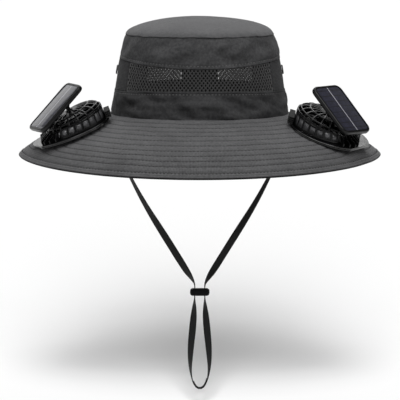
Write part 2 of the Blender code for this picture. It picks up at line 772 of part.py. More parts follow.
clear_scene()
HAT = new_collection("solar_fan_hat")
CUTTERS = new_collection("cutters")
crown_tip()
crown_band("crown_upper_band", NET_TOP, NET_TOP_WAVE, TIP_SEAM_HEIGHT, TIP_SEAM_WAVE, 2)
crown_band("crown_lower_band", CLEAR * 2, 0.0, NET_BOTTOM, NET_BOTTOM_WAVE, 2)
net_band()
side_snaps()
brim()
for hat_side in (-1, 1):
    fan_unit(hat_side)
chin_strap()
strap_slider()
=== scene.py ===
# %% [markdown]
# # A solar fan hat
# The object is a wide-brimmed cloth sun hat. A net band airs its crown, a fan under a small solar panel
# stands on each side of its brim, and a flat tape with a slider hangs under it as a chin strap. The solids
# of the hat are already made at their real size. This script loads them as a fixed frame and dresses them:
# cloth, net, tape and mouldings become finely modelled meshes in the same places.

# %% Load the frame
from math import atan2, cos, exp, pi, radians, sin, sqrt, tan

import bmesh
import bpy
from mathutils import Euler, Matrix, Vector, noise


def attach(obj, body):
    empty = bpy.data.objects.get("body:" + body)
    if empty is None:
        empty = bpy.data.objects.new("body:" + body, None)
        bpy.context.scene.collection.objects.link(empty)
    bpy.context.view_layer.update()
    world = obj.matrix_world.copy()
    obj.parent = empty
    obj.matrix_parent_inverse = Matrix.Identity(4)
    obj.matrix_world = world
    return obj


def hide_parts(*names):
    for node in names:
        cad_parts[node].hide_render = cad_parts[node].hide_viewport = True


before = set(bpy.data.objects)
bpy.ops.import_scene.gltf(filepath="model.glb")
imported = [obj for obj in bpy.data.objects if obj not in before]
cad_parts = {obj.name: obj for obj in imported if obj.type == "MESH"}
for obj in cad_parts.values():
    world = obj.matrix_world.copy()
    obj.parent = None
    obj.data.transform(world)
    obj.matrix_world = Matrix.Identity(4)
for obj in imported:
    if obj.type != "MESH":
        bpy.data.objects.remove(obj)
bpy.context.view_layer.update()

# %% [markdown]
# ## Small helpers
# A colour is written as the sRGB hex value that a colour picker shows, and Cycles wants it linear. A shader
# node is added with its settings and its links in one call, which gives the socket that the next node reads.
# A finished mesh is turned into an object, given its material, and tied to the body that it moves with.

# %% Helpers for colour, nodes and finished pieces
MM = 0.001


def colour(hex_value):
    """The linear colour of an sRGB hex value such as "#3c3c3e"."""
    parts = [int(hex_value[i:i + 2], 16) / 255 for i in (1, 3, 5)]
    return [c / 12.92 if c <= 0.04045 else ((c + 0.055) / 1.055) ** 2.4 for c in parts] + [1.0]


def feed(node, inputs):
    """Feeds a node's inputs with numbers, hex colours or the sockets of other nodes."""
    for name, value in inputs.items():
        if isinstance(value, bpy.types.NodeSocket):
            node.id_data.links.new(value, node.inputs[name])
        else:
            node.inputs[name].default_value = colour(value) if isinstance(value, str) else value


def add_node(material, kind, inputs=None, out=0, stops=(), **settings):
    """Adds a node and gives one of its outputs. Stops are the places and colours of a ramp."""
    node = material.node_tree.nodes.new("ShaderNode" + kind)
    for name, value in settings.items():
        setattr(node, name, value)
    for _ in stops[2:]:
        node.color_ramp.elements.new(1.0)
    for i, (place, shade) in enumerate(stops):
        node.color_ramp.elements[i].position = place
        node.color_ramp.elements[i].color = colour(shade)
    feed(node, inputs or {})
    return node.outputs[out]


def new_material(name):
    """An empty material with its shader, and the shader itself."""
    made = bpy.data.materials.new(name)
    made.use_nodes = True
    return made, made.node_tree.nodes["Principled BSDF"]


def take_mesh(name, bm):
    mesh = bpy.data.meshes.new(name)
    bm.to_mesh(mesh)
    bm.free()
    return mesh


def add_object(name, data):
    obj = bpy.data.objects.new(name, data)
    bpy.context.scene.collection.objects.link(obj)
    return obj


def finish_piece(name, bm, material, body="hat", nodes=(), sharp=35):
    """Makes an object at the origin of a bmesh, smooth but for its sharp edges."""
    mesh = take_mesh(name, bm)
    mesh.materials.append(material)
    mesh.shade_smooth()
    mesh.set_sharp_from_angle(angle=radians(sharp))
    obj = add_object(name, mesh)
    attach(obj, body)
    if nodes:
        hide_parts(*nodes)
    print(name, len(mesh.polygons), "faces")
    return obj


def give_wall(obj, thick, offset=-1.0):
    wall = obj.modifiers.new("Wall", "SOLIDIFY")
    wall.thickness = thick
    wall.offset = offset
    wall.use_even_offset = True


def round_edges(obj, width):
    edge = obj.modifiers.new("Edges", "BEVEL")
    edge.width = width
    edge.segments = 2
    edge.limit_method = "ANGLE"


# %% [markdown]
# ## Camera
# The photograph looks at the front of the hat from just above the brim, with hardly any perspective. A long
# lens far away gives that. Its lens length follows from the distance and from the width of the frame at the
# hat.

# %% Place the camera
FRAME_WIDTH = 400 * MM
CAMERA_AWAY = 8.0
CAMERA_ELEVATION = 5.0
CAMERA_TARGET = Vector((0.25 * MM, 0, -87.7 * MM))

camera = bpy.data.cameras.new("camera")
camera.sensor_width = 36
camera.lens = camera.sensor_width * CAMERA_AWAY / FRAME_WIDTH
camera.clip_end = 200
camera_object = add_object("camera", camera)
rise = radians(CAMERA_ELEVATION)
camera_object.location = CAMERA_TARGET + CAMERA_AWAY * Vector((0, -cos(rise), sin(rise)))
camera_object.rotation_euler = (pi / 2 - rise, 0, 0)
bpy.context.scene.camera = camera_object
print("lens", round(camera.lens), "mm")

# %% [markdown]
# ## Tape of the chin strap
# The strap is a flat polyester tape, woven on a narrow loom, with a selvedge along each side. A weave is two
# sets of waves that cross. Their spacing is a real size, and the tape's own UV map, laid out in metres along
# and across it, keeps them running with the tape wherever it twists.

# %% Woven tape material
# A wave texture repeats each 2 pi / 20 of its own unit, so its scale follows from the size of a thread.
WAVE_UNIT = 2 * pi / 20


def wave_scale(period):
    return WAVE_UNIT / period


def woven_tape():
    """Woven polyester tape: matt, ribbed along its length, its threads just visible."""
    made, shader = new_material("woven polyester tape")
    place = add_node(made, "TexCoord", out="UV")
    rib = {"Vector": place, "Scale": wave_scale(1.0 * MM), "Distortion": 0.4, "Detail": 1.0}
    pick = {"Vector": place, "Scale": wave_scale(1.2 * MM), "Distortion": 0.6, "Detail": 1.0}
    weave = add_node(made, "Math", {
        0: add_node(made, "TexWave", rib, "Fac", bands_direction="X"),
        1: add_node(made, "TexWave", pick, "Fac", bands_direction="Y"),
    }, operation="MULTIPLY")
    feed(shader, {
        "Base Color": add_node(made, "ValToRGB", {"Fac": weave},
                               stops=((0.0, "#101010"), (0.6, "#1c1c1c"), (1.0, "#2a2a2a"))),
        "Normal": add_node(made, "Bump", {"Height": weave, "Strength": 0.5, "Distance": 0.3 * MM}),
        "Roughness": 0.8,
        "Sheen Weight": 0.15,
        "Sheen Roughness": 0.5,
    })
    return made


TAPE = woven_tape()

# %% [markdown]
# ## Chin strap
# The strap is one tape. It comes out of the seam at the left of the head opening, runs down through the
# slider, round the hanging loop, up through the slider again and back into the seam on the right. Its route
# is a short list of given points, with the turn of the tape's face at each one. A smooth curve goes
# through them, and a flat grid is bent along that curve, because a grid keeps its two directions for the
# weave.

# %% Bend the tape along its route
TAPE_WIDTH = 7.0 * MM
TAPE_THICK = 1.0 * MM
TAPE_STEP = 3.0 * MM
STRAP_ROUTE = (
    # x, z, turn of the tape's face away from the front in degrees
    (-0.0845, 0.0080, 90), (-0.0859, 0.0000, 90), (-0.0862, -0.0120, 88), (-0.0848, -0.0260, 84),
    (-0.0805, -0.0410, 78), (-0.0752, -0.0530, 73), (-0.0688, -0.0656, 67), (-0.0605, -0.0815, 56),
    (-0.0512, -0.0978, 42), (-0.0412, -0.1140, 22), (-0.0312, -0.1299, 5), (-0.0217, -0.1452, 5),
    (-0.0140, -0.1575, 25), (-0.0084, -0.1660, 60), (-0.0053, -0.1720, 86), (-0.0050, -0.1770, 90),
    (-0.0050, -0.1820, 90), (-0.0051, -0.1875, 86), (-0.0055, -0.1960, 58), (-0.0064, -0.2080, 24),
    (-0.0076, -0.2210, 12), (-0.0088, -0.2340, 30), (-0.0095, -0.2470, 52), (-0.0093, -0.2580, 74),
    (-0.0076, -0.2680, 88), (-0.0043, -0.2750, 90), (0.0, -0.2772, 90),
)


def route_length(points):
    return sum((b - a).xyz.length for a, b in zip(points, points[1:]))


def smooth_route(points, step):
    """Points a step apart on a smooth curve through a route; each point also carries its turn."""
    dense = []
    for i in range(len(points) - 1):
        a, b, c, d = (points[min(max(i + k, 0), len(points) - 1)] for k in (-1, 0, 1, 2))
        for k in range(16):
            u = k / 16
            curve = (2 * b) + (c - a) * u + (2 * a - 5 * b + 4 * c - d) * u * u + (3 * b - a - 3 * c + d) * u**3
            dense.append(0.5 * curve)
    dense.append(points[-1])
    lengths = [0.0]
    for a, b in zip(dense, dense[1:]):
        lengths.append(lengths[-1] + (b - a).xyz.length)
    count = round(lengths[-1] / step)
    out = []
    at = 0
    for i in range(count + 1):
        want = lengths[-1] * i / count
        while at < len(lengths) - 2 and lengths[at + 1] < want:
            at += 1
        share = (want - lengths[at]) / (lengths[at + 1] - lengths[at])
        out.append(dense[at].lerp(dense[at + 1], share))
    return out


def tape_frame(points, i):
    """The directions along the tape, across its width and out of its face at a point of its route."""
    along = (points[min(i + 1, len(points) - 1)] - points[max(i - 1, 0)]).xyz.normalized()
    side = Vector((0, 1, 0)).cross(along).normalized()
    across = side * cos(points[i].w) + Vector((0, 1, 0)) * sin(points[i].w)
    return along, across, along.cross(across)


def metre_grid(columns, rows, size, spread=lambda share: share):
    """A unit grid whose UV map is in metres of the size that it will be bent to. Spread places its rows."""
    bm = bmesh.new()
    uv = bm.loops.layers.uv.new("weave")
    bmesh.ops.create_grid(bm, x_segments=columns, y_segments=rows, size=0.5, calc_uvs=True)
    for face in bm.faces:
        for loop in face.loops:
            loop[uv].uv = ((loop.vert.co.x + 0.5) * size[0], spread(loop.vert.co.y + 0.5) * size[1])
    return bm


def tape_piece(name, points, width, thick, lift=0.0):
    """A flat tape laid along the points."""
    last = len(points) - 1
    bm = metre_grid(4, last, (width, route_length(points)))
    for vert in bm.verts:
        i = round((vert.co.y + 0.5) * last)
        along, across, out = tape_frame(points, i)
        vert.co = points[i].xyz + across * (vert.co.x * width) + out * lift
    obj = finish_piece(name, bm, TAPE)
    give_wall(obj, thick, 0.0)
    round_edges(obj, thick * 0.3)
    return obj


half = [Vector((x, 0, z, radians(turn))) for x, z, turn in STRAP_ROUTE]
whole = half + [Vector((-p.x, 0, p.z, pi - p.w)) for p in reversed(half[:-1])]
strap_points = smooth_route(whole, TAPE_STEP)
strap_length = route_length(strap_points)
chin_strap = tape_piece("chin_strap_tape", strap_points, TAPE_WIDTH, TAPE_THICK)
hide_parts("chin_strap")
print("strap", round(strap_length, 4), "m")

# %% [markdown]
# At the foot of the loop the tape's two ends are lapped and sewn. The lap is a short second layer inside the
# bend. The strap, its lap and its slider make one cord.

LAP_HALF = 4

middle = len(strap_points) // 2
lap_points = strap_points[middle - LAP_HALF:middle + LAP_HALF + 1]
strap_lap = tape_piece("strap_lap", lap_points, TAPE_WIDTH * 0.94, TAPE_THICK * 0.6, 0.8 * MM)

# %% [markdown]
# ## Cloth of the hat
# The hat is sewn from a dense cotton and polyester plain weave, piece-dyed dark grey. Close up it shows
# crossing threads, and from a step away soft patches where washing and handling have paled it. Real threads
# are about 0.4 mm apart, too fine for the picture, so they are drawn three times as coarse. Sheen gives the
# pale look that fine fibres take on where the cloth is seen along its surface, as on top of the crown. The
# tip and the brim are painted lighter and the lower crown darker, which is painted light and shade.

# %% Woven cloth material
THREAD = 1.2 * MM
BINDING_THREAD = 1.0 * MM
PATCH = 30 * MM
SLUB = 2.6 * MM
# share of the painted shade in the stitch grooves of the brim
GROOVE_SHADE_SHARE = 0.45


def woven_cloth(name, dark, plain, pale, sheen=0.25, thread=THREAD, groove_shaded=False, hollow=False, shaded_below=False):
    """Plain woven cloth, dyed: matt, with crossing threads and soft patches of wear.

    Three switches paint shade into the colour: in the grooves that the mesh marks where stitches press the
    cloth in, on the faces that look down, and on the inside of a hollow piece.
    """
    made, shader = new_material(name)
    place = add_node(made, "TexCoord", out="Object")
    normal = add_node(made, "TexCoord", out="Normal")
    threads = {"Vector": add_node(made, "TexCoord", out="UV"), "Scale": wave_scale(thread), "Distortion": 1.2,
               "Detail": 2.0, "Detail Scale": 3.0}
    warp, weft = (add_node(made, "TexWave", threads, "Fac", bands_direction=way) for way in "XY")
    weave = add_node(made, "Math", {0: warp, 1: weft}, operation="ADD")
    slub = add_node(made, "TexNoise", {"Vector": place, "Scale": 1 / SLUB, "Detail": 4.0})
    worn_patches = {"Vector": place, "Scale": 1 / PATCH, "Detail": 4.0, "Roughness": 0.55}
    patch = add_node(made, "TexNoise", worn_patches)
    tone = add_node(made, "Math", {0: patch, 1: 0.35}, operation="MULTIPLY")
    for part, weight in ((weave, 0.16), (slub, 0.48)):
        tone = add_node(made, "Math", {0: part, 1: weight, 2: tone}, operation="MULTIPLY_ADD")
    tint = add_node(made, "ValToRGB", {"Fac": tone}, stops=((0.42, dark), (0.575, plain), (0.73, pale)))
    darker = []
    if groove_shaded:
        # painted shade: the cloth is darkened along the stitch grooves, where shade falls in them
        groove_shade = add_node(made, "Attribute", out="Fac", attribute_name="groove_shade")
        darker.append((add_node(made, "Math", {0: groove_shade, 1: GROOVE_SHADE_SHARE}, operation="MULTIPLY"), "#1c1c1d"))
    if shaded_below:
        # painted shade: faces that look down are darkened, as the binding's lower side is in shade
        rise = add_node(made, "SeparateXYZ", {"Vector": normal}, "Z")
        below = {"Value": rise, "From Min": 0.52, "From Max": 0.22}
        darker.append((add_node(made, "MapRange", below), "#151515"))
    if hollow:
        # painted shade: the cloth's inside faces are darkened, as the inside of the crown is in shade
        inward = add_node(made, "VectorMath", {0: place, 1: normal}, "Value", operation="DOT_PRODUCT")
        darker.append((add_node(made, "Math", {0: inward, 1: 0.0}, operation="LESS_THAN"), "#0b0b0b"))
    for share, shade in darker:
        tint = add_node(made, "MixRGB", {"Fac": share, "Color1": tint, "Color2": shade})
    relief = add_node(made, "Math", {0: slub, 1: 0.8, 2: weave}, operation="MULTIPLY_ADD")
    feed(shader, {
        "Base Color": tint,
        "Normal": add_node(made, "Bump", {"Height": relief, "Strength": 0.45, "Distance": 0.25 * MM}),
        "Roughness": 0.9,
        "Specular IOR Level": 0.25,
        "Sheen Weight": sheen,
        "Sheen Roughness": 0.45,
        "Sheen Tint": "#c9c9cb",
    })
    return made


CLOTH_THICK = 1.6 * MM

# One cloth in four shades of painted light and shade: the tip and the brim, which face the light, are painted
# lighter; the lower crown and the side panels, which lie in shade, are painted darker.
DYED = "piece-dyed plain weave, "
TIP_CLOTH = woven_cloth(DYED + "tip painted lighter", "#505051", "#5a5a5b", "#646465", 0.22, hollow=True)
CROWN_CLOTH = woven_cloth(DYED + "crown", "#343435", "#464647", "#585859", 0.08, hollow=True)
FOOT_CLOTH = woven_cloth(DYED + "lower crown", "#29292a", "#39393a", "#49494a", 0.06, hollow=True)
BRIM_CLOTH = woven_cloth(DYED + "brim", "#474748", "#555556", "#646465", groove_shaded=True)
# the binding's downward faces get painted shade
BINDING_CLOTH = woven_cloth("bias binding, plain weave", "#4a4a4b", "#59595a", "#6a6a6b",
                            thread=BINDING_THREAD, shaded_below=True)
print("cloths:", len(bpy.data.materials))

# %% [markdown]
# ## Shape of the crown
# The crown is an oval that leans in as it rises, then rounds over near the top seam. One function gives any
# point of it from a turn round the oval and a height, and every cloth piece of the crown is laid on it. A
# piece starts as a flat grid, is bent onto the surface, and then gets folds: smooth noise that fades out
# towards the seams, because a seam holds cloth still.

# %% Lay cloth on the crown
CLEAR = 0.3 * MM
CROWN_HALF_WIDTH = 88.8 * MM
OVAL_EXTRA = 9.5 * MM
CROWN_LEAN = 0.158
SHOULDER_START = 50 * MM
SHOULDER_PULL = 3.1 * MM
SHOULDER_POWER = 3.0
TIP_SEAM = 80.05 * MM
TIP_SEAM_WAVE = 0.75 * MM
TIP_RISE = 15.7 * MM
NET_TOP = 52.2 * MM
NET_TOP_WAVE = -2.8 * MM
NET_BOTTOM = 25.65 * MM
NET_BOTTOM_WAVE = 1.65 * MM
PANEL_SETBACK = 0.4 * MM
CROWN_GIRTH = 0.54
LOWER_WIDTH = 27 * MM
UPPER_WIDTH = 31 * MM
FOOT_LAP = 1.2 * MM


def crown_half_width(z):
    over = max(z - SHOULDER_START, 0.0) / (TIP_SEAM - SHOULDER_START)
    return CROWN_HALF_WIDTH - CROWN_LEAN * z - SHOULDER_PULL * over**SHOULDER_POWER


def crown_point(turn, z, set_in=0.0):
    """A point on the crown's outside, turned from the front towards the left."""
    half_width = crown_half_width(z) - set_in
    return Vector((-half_width * sin(turn), -(half_width + OVAL_EXTRA) * cos(turn), z))


def level(height, swing, turn):
    return height + swing * cos(2 * turn)


def fold(point, size, seed):
    """Smooth noise from -1 to 1 with folds of that size."""
    return noise.noise(point / size + Vector((seed, -seed, seed * 0.5)))


def smooth_step(low, high, value):
    share = min(max((value - low) / (high - low), 0.0), 1.0)
    return share * share * (3 - 2 * share)


def bend(bm, place):
    """Moves a unit grid onto a surface, which maps two shares to a point."""
    for vert in bm.verts:
        vert.co = place(vert.co.x + 0.5, vert.co.y + 0.5)


def turn_out(bm, way):
    """Turns the faces over if they don't point the way out, which is a function of a place."""
    bm.normal_update()
    if sum(f.normal.dot(way(f.calc_center_median())) for f in bm.faces) < 0:
        bmesh.ops.reverse_faces(bm, faces=bm.faces)


def cloth_sheet(name, place, columns, rows, size, material, nodes, thick, ring=False):
    """A sheet of cloth of that size, bent by place. The two ends of a ring are merged."""
    bm = metre_grid(columns, rows, size)
    bend(bm, place)
    if ring:
        bmesh.ops.remove_doubles(bm, verts=bm.verts, dist=1e-6)
    turn_out(bm, Vector)
    give_wall(finish_piece(name, bm, material, nodes=nodes, sharp=50), thick)


def outward(point):
    return Vector((point.x, point.y, 0)).normalized()


# %% [markdown]
# The lower band shows the deepest folds, slanting and soft, and it rolls out a little above the brim seam.
# The upper band is smoother. Both have pressed edges: the cloth dips just inside each edge, where the
# stitches pull.

# %% Crown bands
FOLD_SIZE = 19 * MM
# depths in millimetres
DEEP_FOLDS = 5.2
SOFT_FOLDS = 4.6
SMALL_FOLDS = 1.6
PRESS_DEPTH = 0.45
PRESS_WIDTH = 2.6 * MM


def pressed(distance):
    """How far the stitches near an edge pull the cloth in, from 0 to 1."""
    return exp(-((distance - PRESS_WIDTH) / (0.9 * MM)) ** 2)


def fold_share(point):
    """Folds are deeper on the flat front and back than round the sides, where the cloth is stretched."""
    return 0.4 + 0.6 * abs(outward(point).y)


def between_seams(share, power=0.7):
    """How free the cloth is to fold: 0 at both seams and 1 half way."""
    return sin(pi * min(max(share, 0.0), 1.0)) ** power


def lower_band(u, v):
    turn = 2 * pi * u
    bottom = -FOOT_LAP
    top = level(NET_BOTTOM, NET_BOTTOM_WAVE, turn)
    z = bottom + (top - bottom) * v
    point = crown_point(turn, z)
    slant = Vector((point.x + 0.7 * point.z, point.y, point.z * 1.5))
    depth = DEEP_FOLDS * fold(slant, FOLD_SIZE * 1.05, 3.1) + SMALL_FOLDS * fold(slant, FOLD_SIZE * 0.5, 7.7)
    roll = 0.5 * exp(-((z - 5 * MM) / (3 * MM)) ** 2)
    push = depth * between_seams(v) * fold_share(point) - PRESS_DEPTH * pressed(top - z) + roll
    return point + outward(point) * (push * MM)


def tip_seam(turn):
    """The seam of the tip, which wanders a little up and down."""
    wobble = 0.7 * MM * fold(Vector((cos(turn), sin(turn), 0)) * 88 * MM, 13 * MM, 8.8)
    return level(TIP_SEAM, TIP_SEAM_WAVE, turn) + wobble


def upper_band(u, v):
    turn = 2 * pi * u
    bottom = level(NET_TOP, NET_TOP_WAVE, turn)
    top = tip_seam(turn)
    z = bottom + (top - bottom) * v
    point = crown_point(turn, z)
    slant = Vector((point.x - 0.5 * point.z, point.y, point.z * 1.3))
    depth = SOFT_FOLDS * fold(slant, FOLD_SIZE * 1.3, 12.4) + 1.2 * fold(slant, FOLD_SIZE * 0.55, 5.2)
    pucker = 0.6 * fold(point, 6 * MM, 2.5) * exp(-(top - z) / (4 * MM)) - 0.4 * exp(-(top - z) / (1.2 * MM))
    push = depth * between_seams(v) * fold_share(point) - PRESS_DEPTH * pressed(z - bottom) + pucker
    return point + outward(point) * (push * MM)


cloth_sheet("crown_lower_cloth", lower_band, 240, 26, (CROWN_GIRTH, LOWER_WIDTH), FOOT_CLOTH,
            ["crown_lower_band"], CLOTH_THICK, ring=True)
cloth_sheet("crown_upper_cloth", upper_band, 240, 30, (CROWN_GIRTH, UPPER_WIDTH), CROWN_CLOTH,
            ["crown_upper_band"], CLOTH_THICK, ring=True)

# %% [markdown]
# The tip is the oval panel on top. A flat panel that is sewn to a curved band has more edge than the seam
# takes up, so it puckers along the seam. Short ripples that die away towards the middle show that. The tip
# laps over the band, so that no light comes through the seam.

# %% Crown tip
TIP_LAP = 0.7 * MM


def tip_surface(u, v):
    turn = 2 * pi * u
    seam = tip_seam(turn) - TIP_LAP
    dome = TIP_SEAM + TIP_RISE - seam
    climb = v * pi / 2
    rim = crown_point(turn, seam)
    point = Vector((rim.x * cos(climb), rim.y * cos(climb), seam + dome * sin(climb)))
    ripple = 0.85 * fold(outward(rim) * 80 * MM, 6.5 * MM, 1.2) * exp(-((v - 0.10) / 0.10) ** 2)
    dent = 0.9 * fold(point, 42 * MM, 9.3) * smooth_step(0.06, 0.36, v)
    lip = 0.35 * exp(-((v - 0.03) / 0.03) ** 2)
    return point + Vector((0, 0, ripple + dent)) * MM + outward(rim) * (lip * MM * cos(climb))


cloth_sheet("crown_tip_cloth", tip_surface, 240, 36, (CROWN_GIRTH, 95 * MM), TIP_CLOTH,
            ["crown_tip"], CLOTH_THICK, ring=True)

# %% [markdown]
# ## Net windows
# The net is a warp-knitted polyester mesh with staggered, nearly round holes, about 4 mm apart. A plain grid
# has its cells in straight rows. Poking each cell and dissolving the old edges turns it into a grid of
# diamonds, which are staggered as the real holes are. Each diamond is inset and its middle taken out, and
# one subdivision rounds what is left into threads. The windows at the back are finer and denser, so they
# look dark through the front one.

# %% Knitted net material


def flecked(name, grain, detail, stops, finish, relief=None):
    """A material whose shade varies in grains of a real size, raised by relief's strength and height."""
    made, shader = new_material(name)
    place = add_node(made, "TexCoord", out="Object")
    fleck = add_node(made, "TexNoise", {"Vector": place, "Scale": 1 / grain, "Detail": detail})
    feed(shader, {"Base Color": add_node(made, "ValToRGB", {"Fac": fleck}, stops=stops), **finish})
    if relief:
        bump = {"Height": fleck, "Strength": relief[0], "Distance": relief[1]}
        feed(shader, {"Normal": add_node(made, "Bump", bump)})
    return made


# Polyester yarn is black, with a faint shine on each thread.
NET = flecked("warp-knitted polyester net", 0.8 * MM, 2.0, ((0.3, "#131313"), (0.7, "#2d2d2d")),
              {"Roughness": 0.6, "Sheen Weight": 0.2}, (0.5, 0.2 * MM))
print("net:", NET.name)

# %% Net windows and the cloth panels between them
NET_THICK = 0.5 * MM
HOLE_PITCH = 4.0 * MM
HOLE_ROW = 2.7 * MM
YARN = 0.75 * MM
BACK_YARN = 1.15 * MM
SEAM_LAP = 0.8 * MM
NET_PANELS = (
    # name, from, to in degrees, whether it is net
    ("mesh_front", -60, 60, True),
    ("side_panel_left", 60, 140, False),
    ("mesh_back_left", 140, 167, True),
    ("back_panel", 167, 193, False),
    ("mesh_back_right", 193, 220, True),
    ("side_panel_right", 220, 300, False),
)


def window_place(start, end, folds):
    """Maps two shares to a point between the two bands, from one turn to another."""
    gap = CLEAR / 2 / CROWN_HALF_WIDTH
    first = radians(start) + gap
    last = radians(end) - gap

    def place(u, v):
        turn = first + (last - first) * u
        bottom = level(NET_BOTTOM, NET_BOTTOM_WAVE, turn) - SEAM_LAP
        top = level(NET_TOP, NET_TOP_WAVE, turn) + SEAM_LAP
        point = crown_point(turn, bottom + (top - bottom) * v, PANEL_SETBACK)
        hold = between_seams(u, 0.5) * between_seams(v)
        return point + outward(point) * (folds * fold(point, FOLD_SIZE * 1.2, 4.4) * hold * MM)

    return place


def net_window(name, place, girth, height, finer, yarn):
    """A window of net. The finer number divides the distance between its holes."""
    bm = bmesh.new()
    columns = round(girth / HOLE_PITCH * finer)
    rows = round(height / HOLE_ROW / 2 * finer)
    bmesh.ops.create_grid(bm, x_segments=columns, y_segments=rows, size=0.5)
    straight = [e for e in bm.edges if not e.is_boundary]
    bmesh.ops.poke(bm, faces=bm.faces)
    bmesh.ops.dissolve_edges(bm, edges=straight)
    bend(bm, place)
    turn_out(bm, outward)
    holes = [f for f in bm.faces if len(f.verts) == 4]
    bmesh.ops.inset_individual(bm, faces=holes, thickness=yarn / 2, use_even_offset=True)
    bmesh.ops.delete(bm, geom=holes, context="FACES")
    print(name, len(holes), "holes")
    obj = finish_piece(name + "_net", bm, NET, nodes=[name], sharp=180)
    give_wall(obj, NET_THICK)
    smooth = obj.modifiers.new("Soften", "SUBSURF")
    smooth.levels = 1
    smooth.render_levels = 1


for name, start, end, net in NET_PANELS:
    girth = CROWN_GIRTH * (end - start) / 360
    height = NET_TOP - NET_BOTTOM
    if net:
        finer, yarn = (1, YARN) if name == "mesh_front" else (2, BACK_YARN)
        net_window(name, window_place(start, end, 0.5), girth, height, finer, yarn)
    else:
        cloth_sheet(name + "_cloth", window_place(start, end, 1.3), max(16, round(girth / (2.5 * MM))), 16,
                    (girth, height), FOOT_CLOTH, [name], CLOTH_THICK - PANEL_SETBACK)

# %% [markdown]
# ## Brim
# The brim is two layers of cloth, quilted together by ten rounds of stitching, which keep it stiff. It drops
# from the seam, curls down a little at its edge, and lies flat under each fan's base. The same functions
# that shape the solid are written out here, with one thing more: each round of stitching presses a shallow
# groove.

# %% Shape of the brim
BRIM_HALF_WIDTH = 181.2 * MM
BRIM_HALF_DEPTH = 192.0 * MM
BRIM_DROP_SIDE = 41.5 * MM
BRIM_DROP_FRONT = 50.7 * MM
BRIM_STRAIGHT_SHARE = 0.66
BRIM_CURL_SHARE = 0.34
BRIM_CURL_POWER = 5
BRIM_THICK = 2.0 * MM
BINDING_WIDTH = 4.5 * MM
BINDING_THICK = 2.6 * MM
FAN_PLACES = {
    # side: turn from the front, share of the brim's width, rise above it, side and front slope, end's turn
    -1: (68.2, 0.529, 0.0, 20.8, 6.4, 14.0),
    1: (64.75, 0.5765, 1.1 * MM, 16.7, 13.5, 29.0),
}
SEAT_RADIUS = 31.0 * MM
SEAT_FADE = 9.0 * MM
SEAT_EDGE_SHARE = 0.80
PUSH_RADIUS = 46.5 * MM
PUSH_FADE = 23.0 * MM
QUILT_SHARES = (0.092, 0.188, 0.284, 0.382, 0.488, 0.588, 0.680, 0.756, 0.825, 0.884)
QUILT_DEPTH = 0.5 * MM
QUILT_WIDTH = 0.8 * MM
QUILT_STEPS = (-1.4 * MM, -0.7 * MM, 0.0, 0.7 * MM, 1.4 * MM)
BRIM_WIDTH = BRIM_HALF_WIDTH - CROWN_HALF_WIDTH
BRIM_OUTER = 1 - 3.2 * MM / BRIM_WIDTH


def free_brim_point(turn, share):
    """The top of the brim without its fans: share 0 is the seam and share 1 the edge."""
    half_width = CROWN_HALF_WIDTH + BRIM_WIDTH * share
    depth = CROWN_HALF_WIDTH + OVAL_EXTRA
    depth += (BRIM_HALF_DEPTH - depth) * share
    x = -half_width * sin(turn)
    y = -depth * cos(turn)
    lobe = sqrt(cos(turn) ** 2 + 0.04) - 0.2
    drop = BRIM_DROP_SIDE + (BRIM_DROP_FRONT - BRIM_DROP_SIDE) * lobe / (sqrt(1.04) - 0.2)
    fall = max(share, 0.0)
    return Vector((x, y, -drop * (BRIM_STRAIGHT_SHARE * fall + BRIM_CURL_SHARE * fall**BRIM_CURL_POWER)))


def fan_frame(side):
    """The frame of a fan unit: its origin is on the brim, its z stands on the base."""
    turn, share, rise_above, side_slope, front_slope, end_turn = FAN_PLACES[side]
    centre = free_brim_point(-side * radians(turn), share) + Vector((0, 0, rise_above))
    lean = Euler((radians(front_slope), side * radians(side_slope), 0)).to_matrix().to_4x4()
    return Matrix.Translation(centre) @ lean


SEATS = {side: (fan_frame(side).translation, fan_frame(side).col[2].xyz) for side in (-1, 1)}


def seat_level(x, y):
    """The height of the fan base's underside over a point in plan, and how far that is from the fan."""
    centre, normal = SEATS[1 if x > 0 else -1]
    away = Vector((x - centre.x, y - centre.y))
    return centre.z - CLEAR - (normal.x * away.x + normal.y * away.y) / normal.z, away.length


def brim_point(turn, share):
    """The top of the brim, flat under each fan's base."""
    x, y, z = free_brim_point(turn, share)
    seat, away = seat_level(x, y)
    if seat > z:
        lift = 1 - smooth_step(SEAT_RADIUS, SEAT_RADIUS + SEAT_FADE, away)
        z += (seat - z) * lift * (1 - smooth_step(SEAT_EDGE_SHARE, 1, share))
    else:
        press = (1 - smooth_step(PUSH_RADIUS, PUSH_RADIUS + PUSH_FADE, away)) * smooth_step(0, 0.06, share)
        z += (seat - z) * press
    return Vector((x, y, z))


def groove(share):
    """How far a round of stitching presses the cloth in, from 0 to 1."""
    nearest = min(QUILT_SHARES, key=lambda s: abs(s - share))
    return exp(-((share - nearest) * BRIM_WIDTH / QUILT_WIDTH) ** 2)


def quilted_point(turn, share):
    point = brim_point(turn, share)
    seat, away = seat_level(point.x, point.y)
    free = smooth_step(30 * MM, 46 * MM, away) * smooth_step(0, 0.1, share)
    free *= 1 - smooth_step(0.88, 0.95, share)
    ease = 0.6 * fold(point, 30 * MM, 6.1) * free
    point.z += (ease - 0.3) * MM * free - QUILT_DEPTH * groove(share)
    return point


def brim_rings():
    """The shares of the brim's width at which the sheet has its rings, closest at each round of stitches."""
    rings = [-CLOTH_THICK / BRIM_WIDTH, 0.02, 0.05, BRIM_OUTER]
    for here, after in zip(QUILT_SHARES, QUILT_SHARES[1:] + (BRIM_OUTER,)):
        rings += [here + step / BRIM_WIDTH for step in QUILT_STEPS]
        rings.append((here + after) / 2)
    return sorted(rings)


def close_up(bm):
    """Merges verts that meet, then turns all faces the same way."""
    bmesh.ops.remove_doubles(bm, verts=bm.verts, dist=1e-6)
    bmesh.ops.recalc_face_normals(bm, faces=bm.faces)


def upward(place):
    return Vector((0, 0, 1))


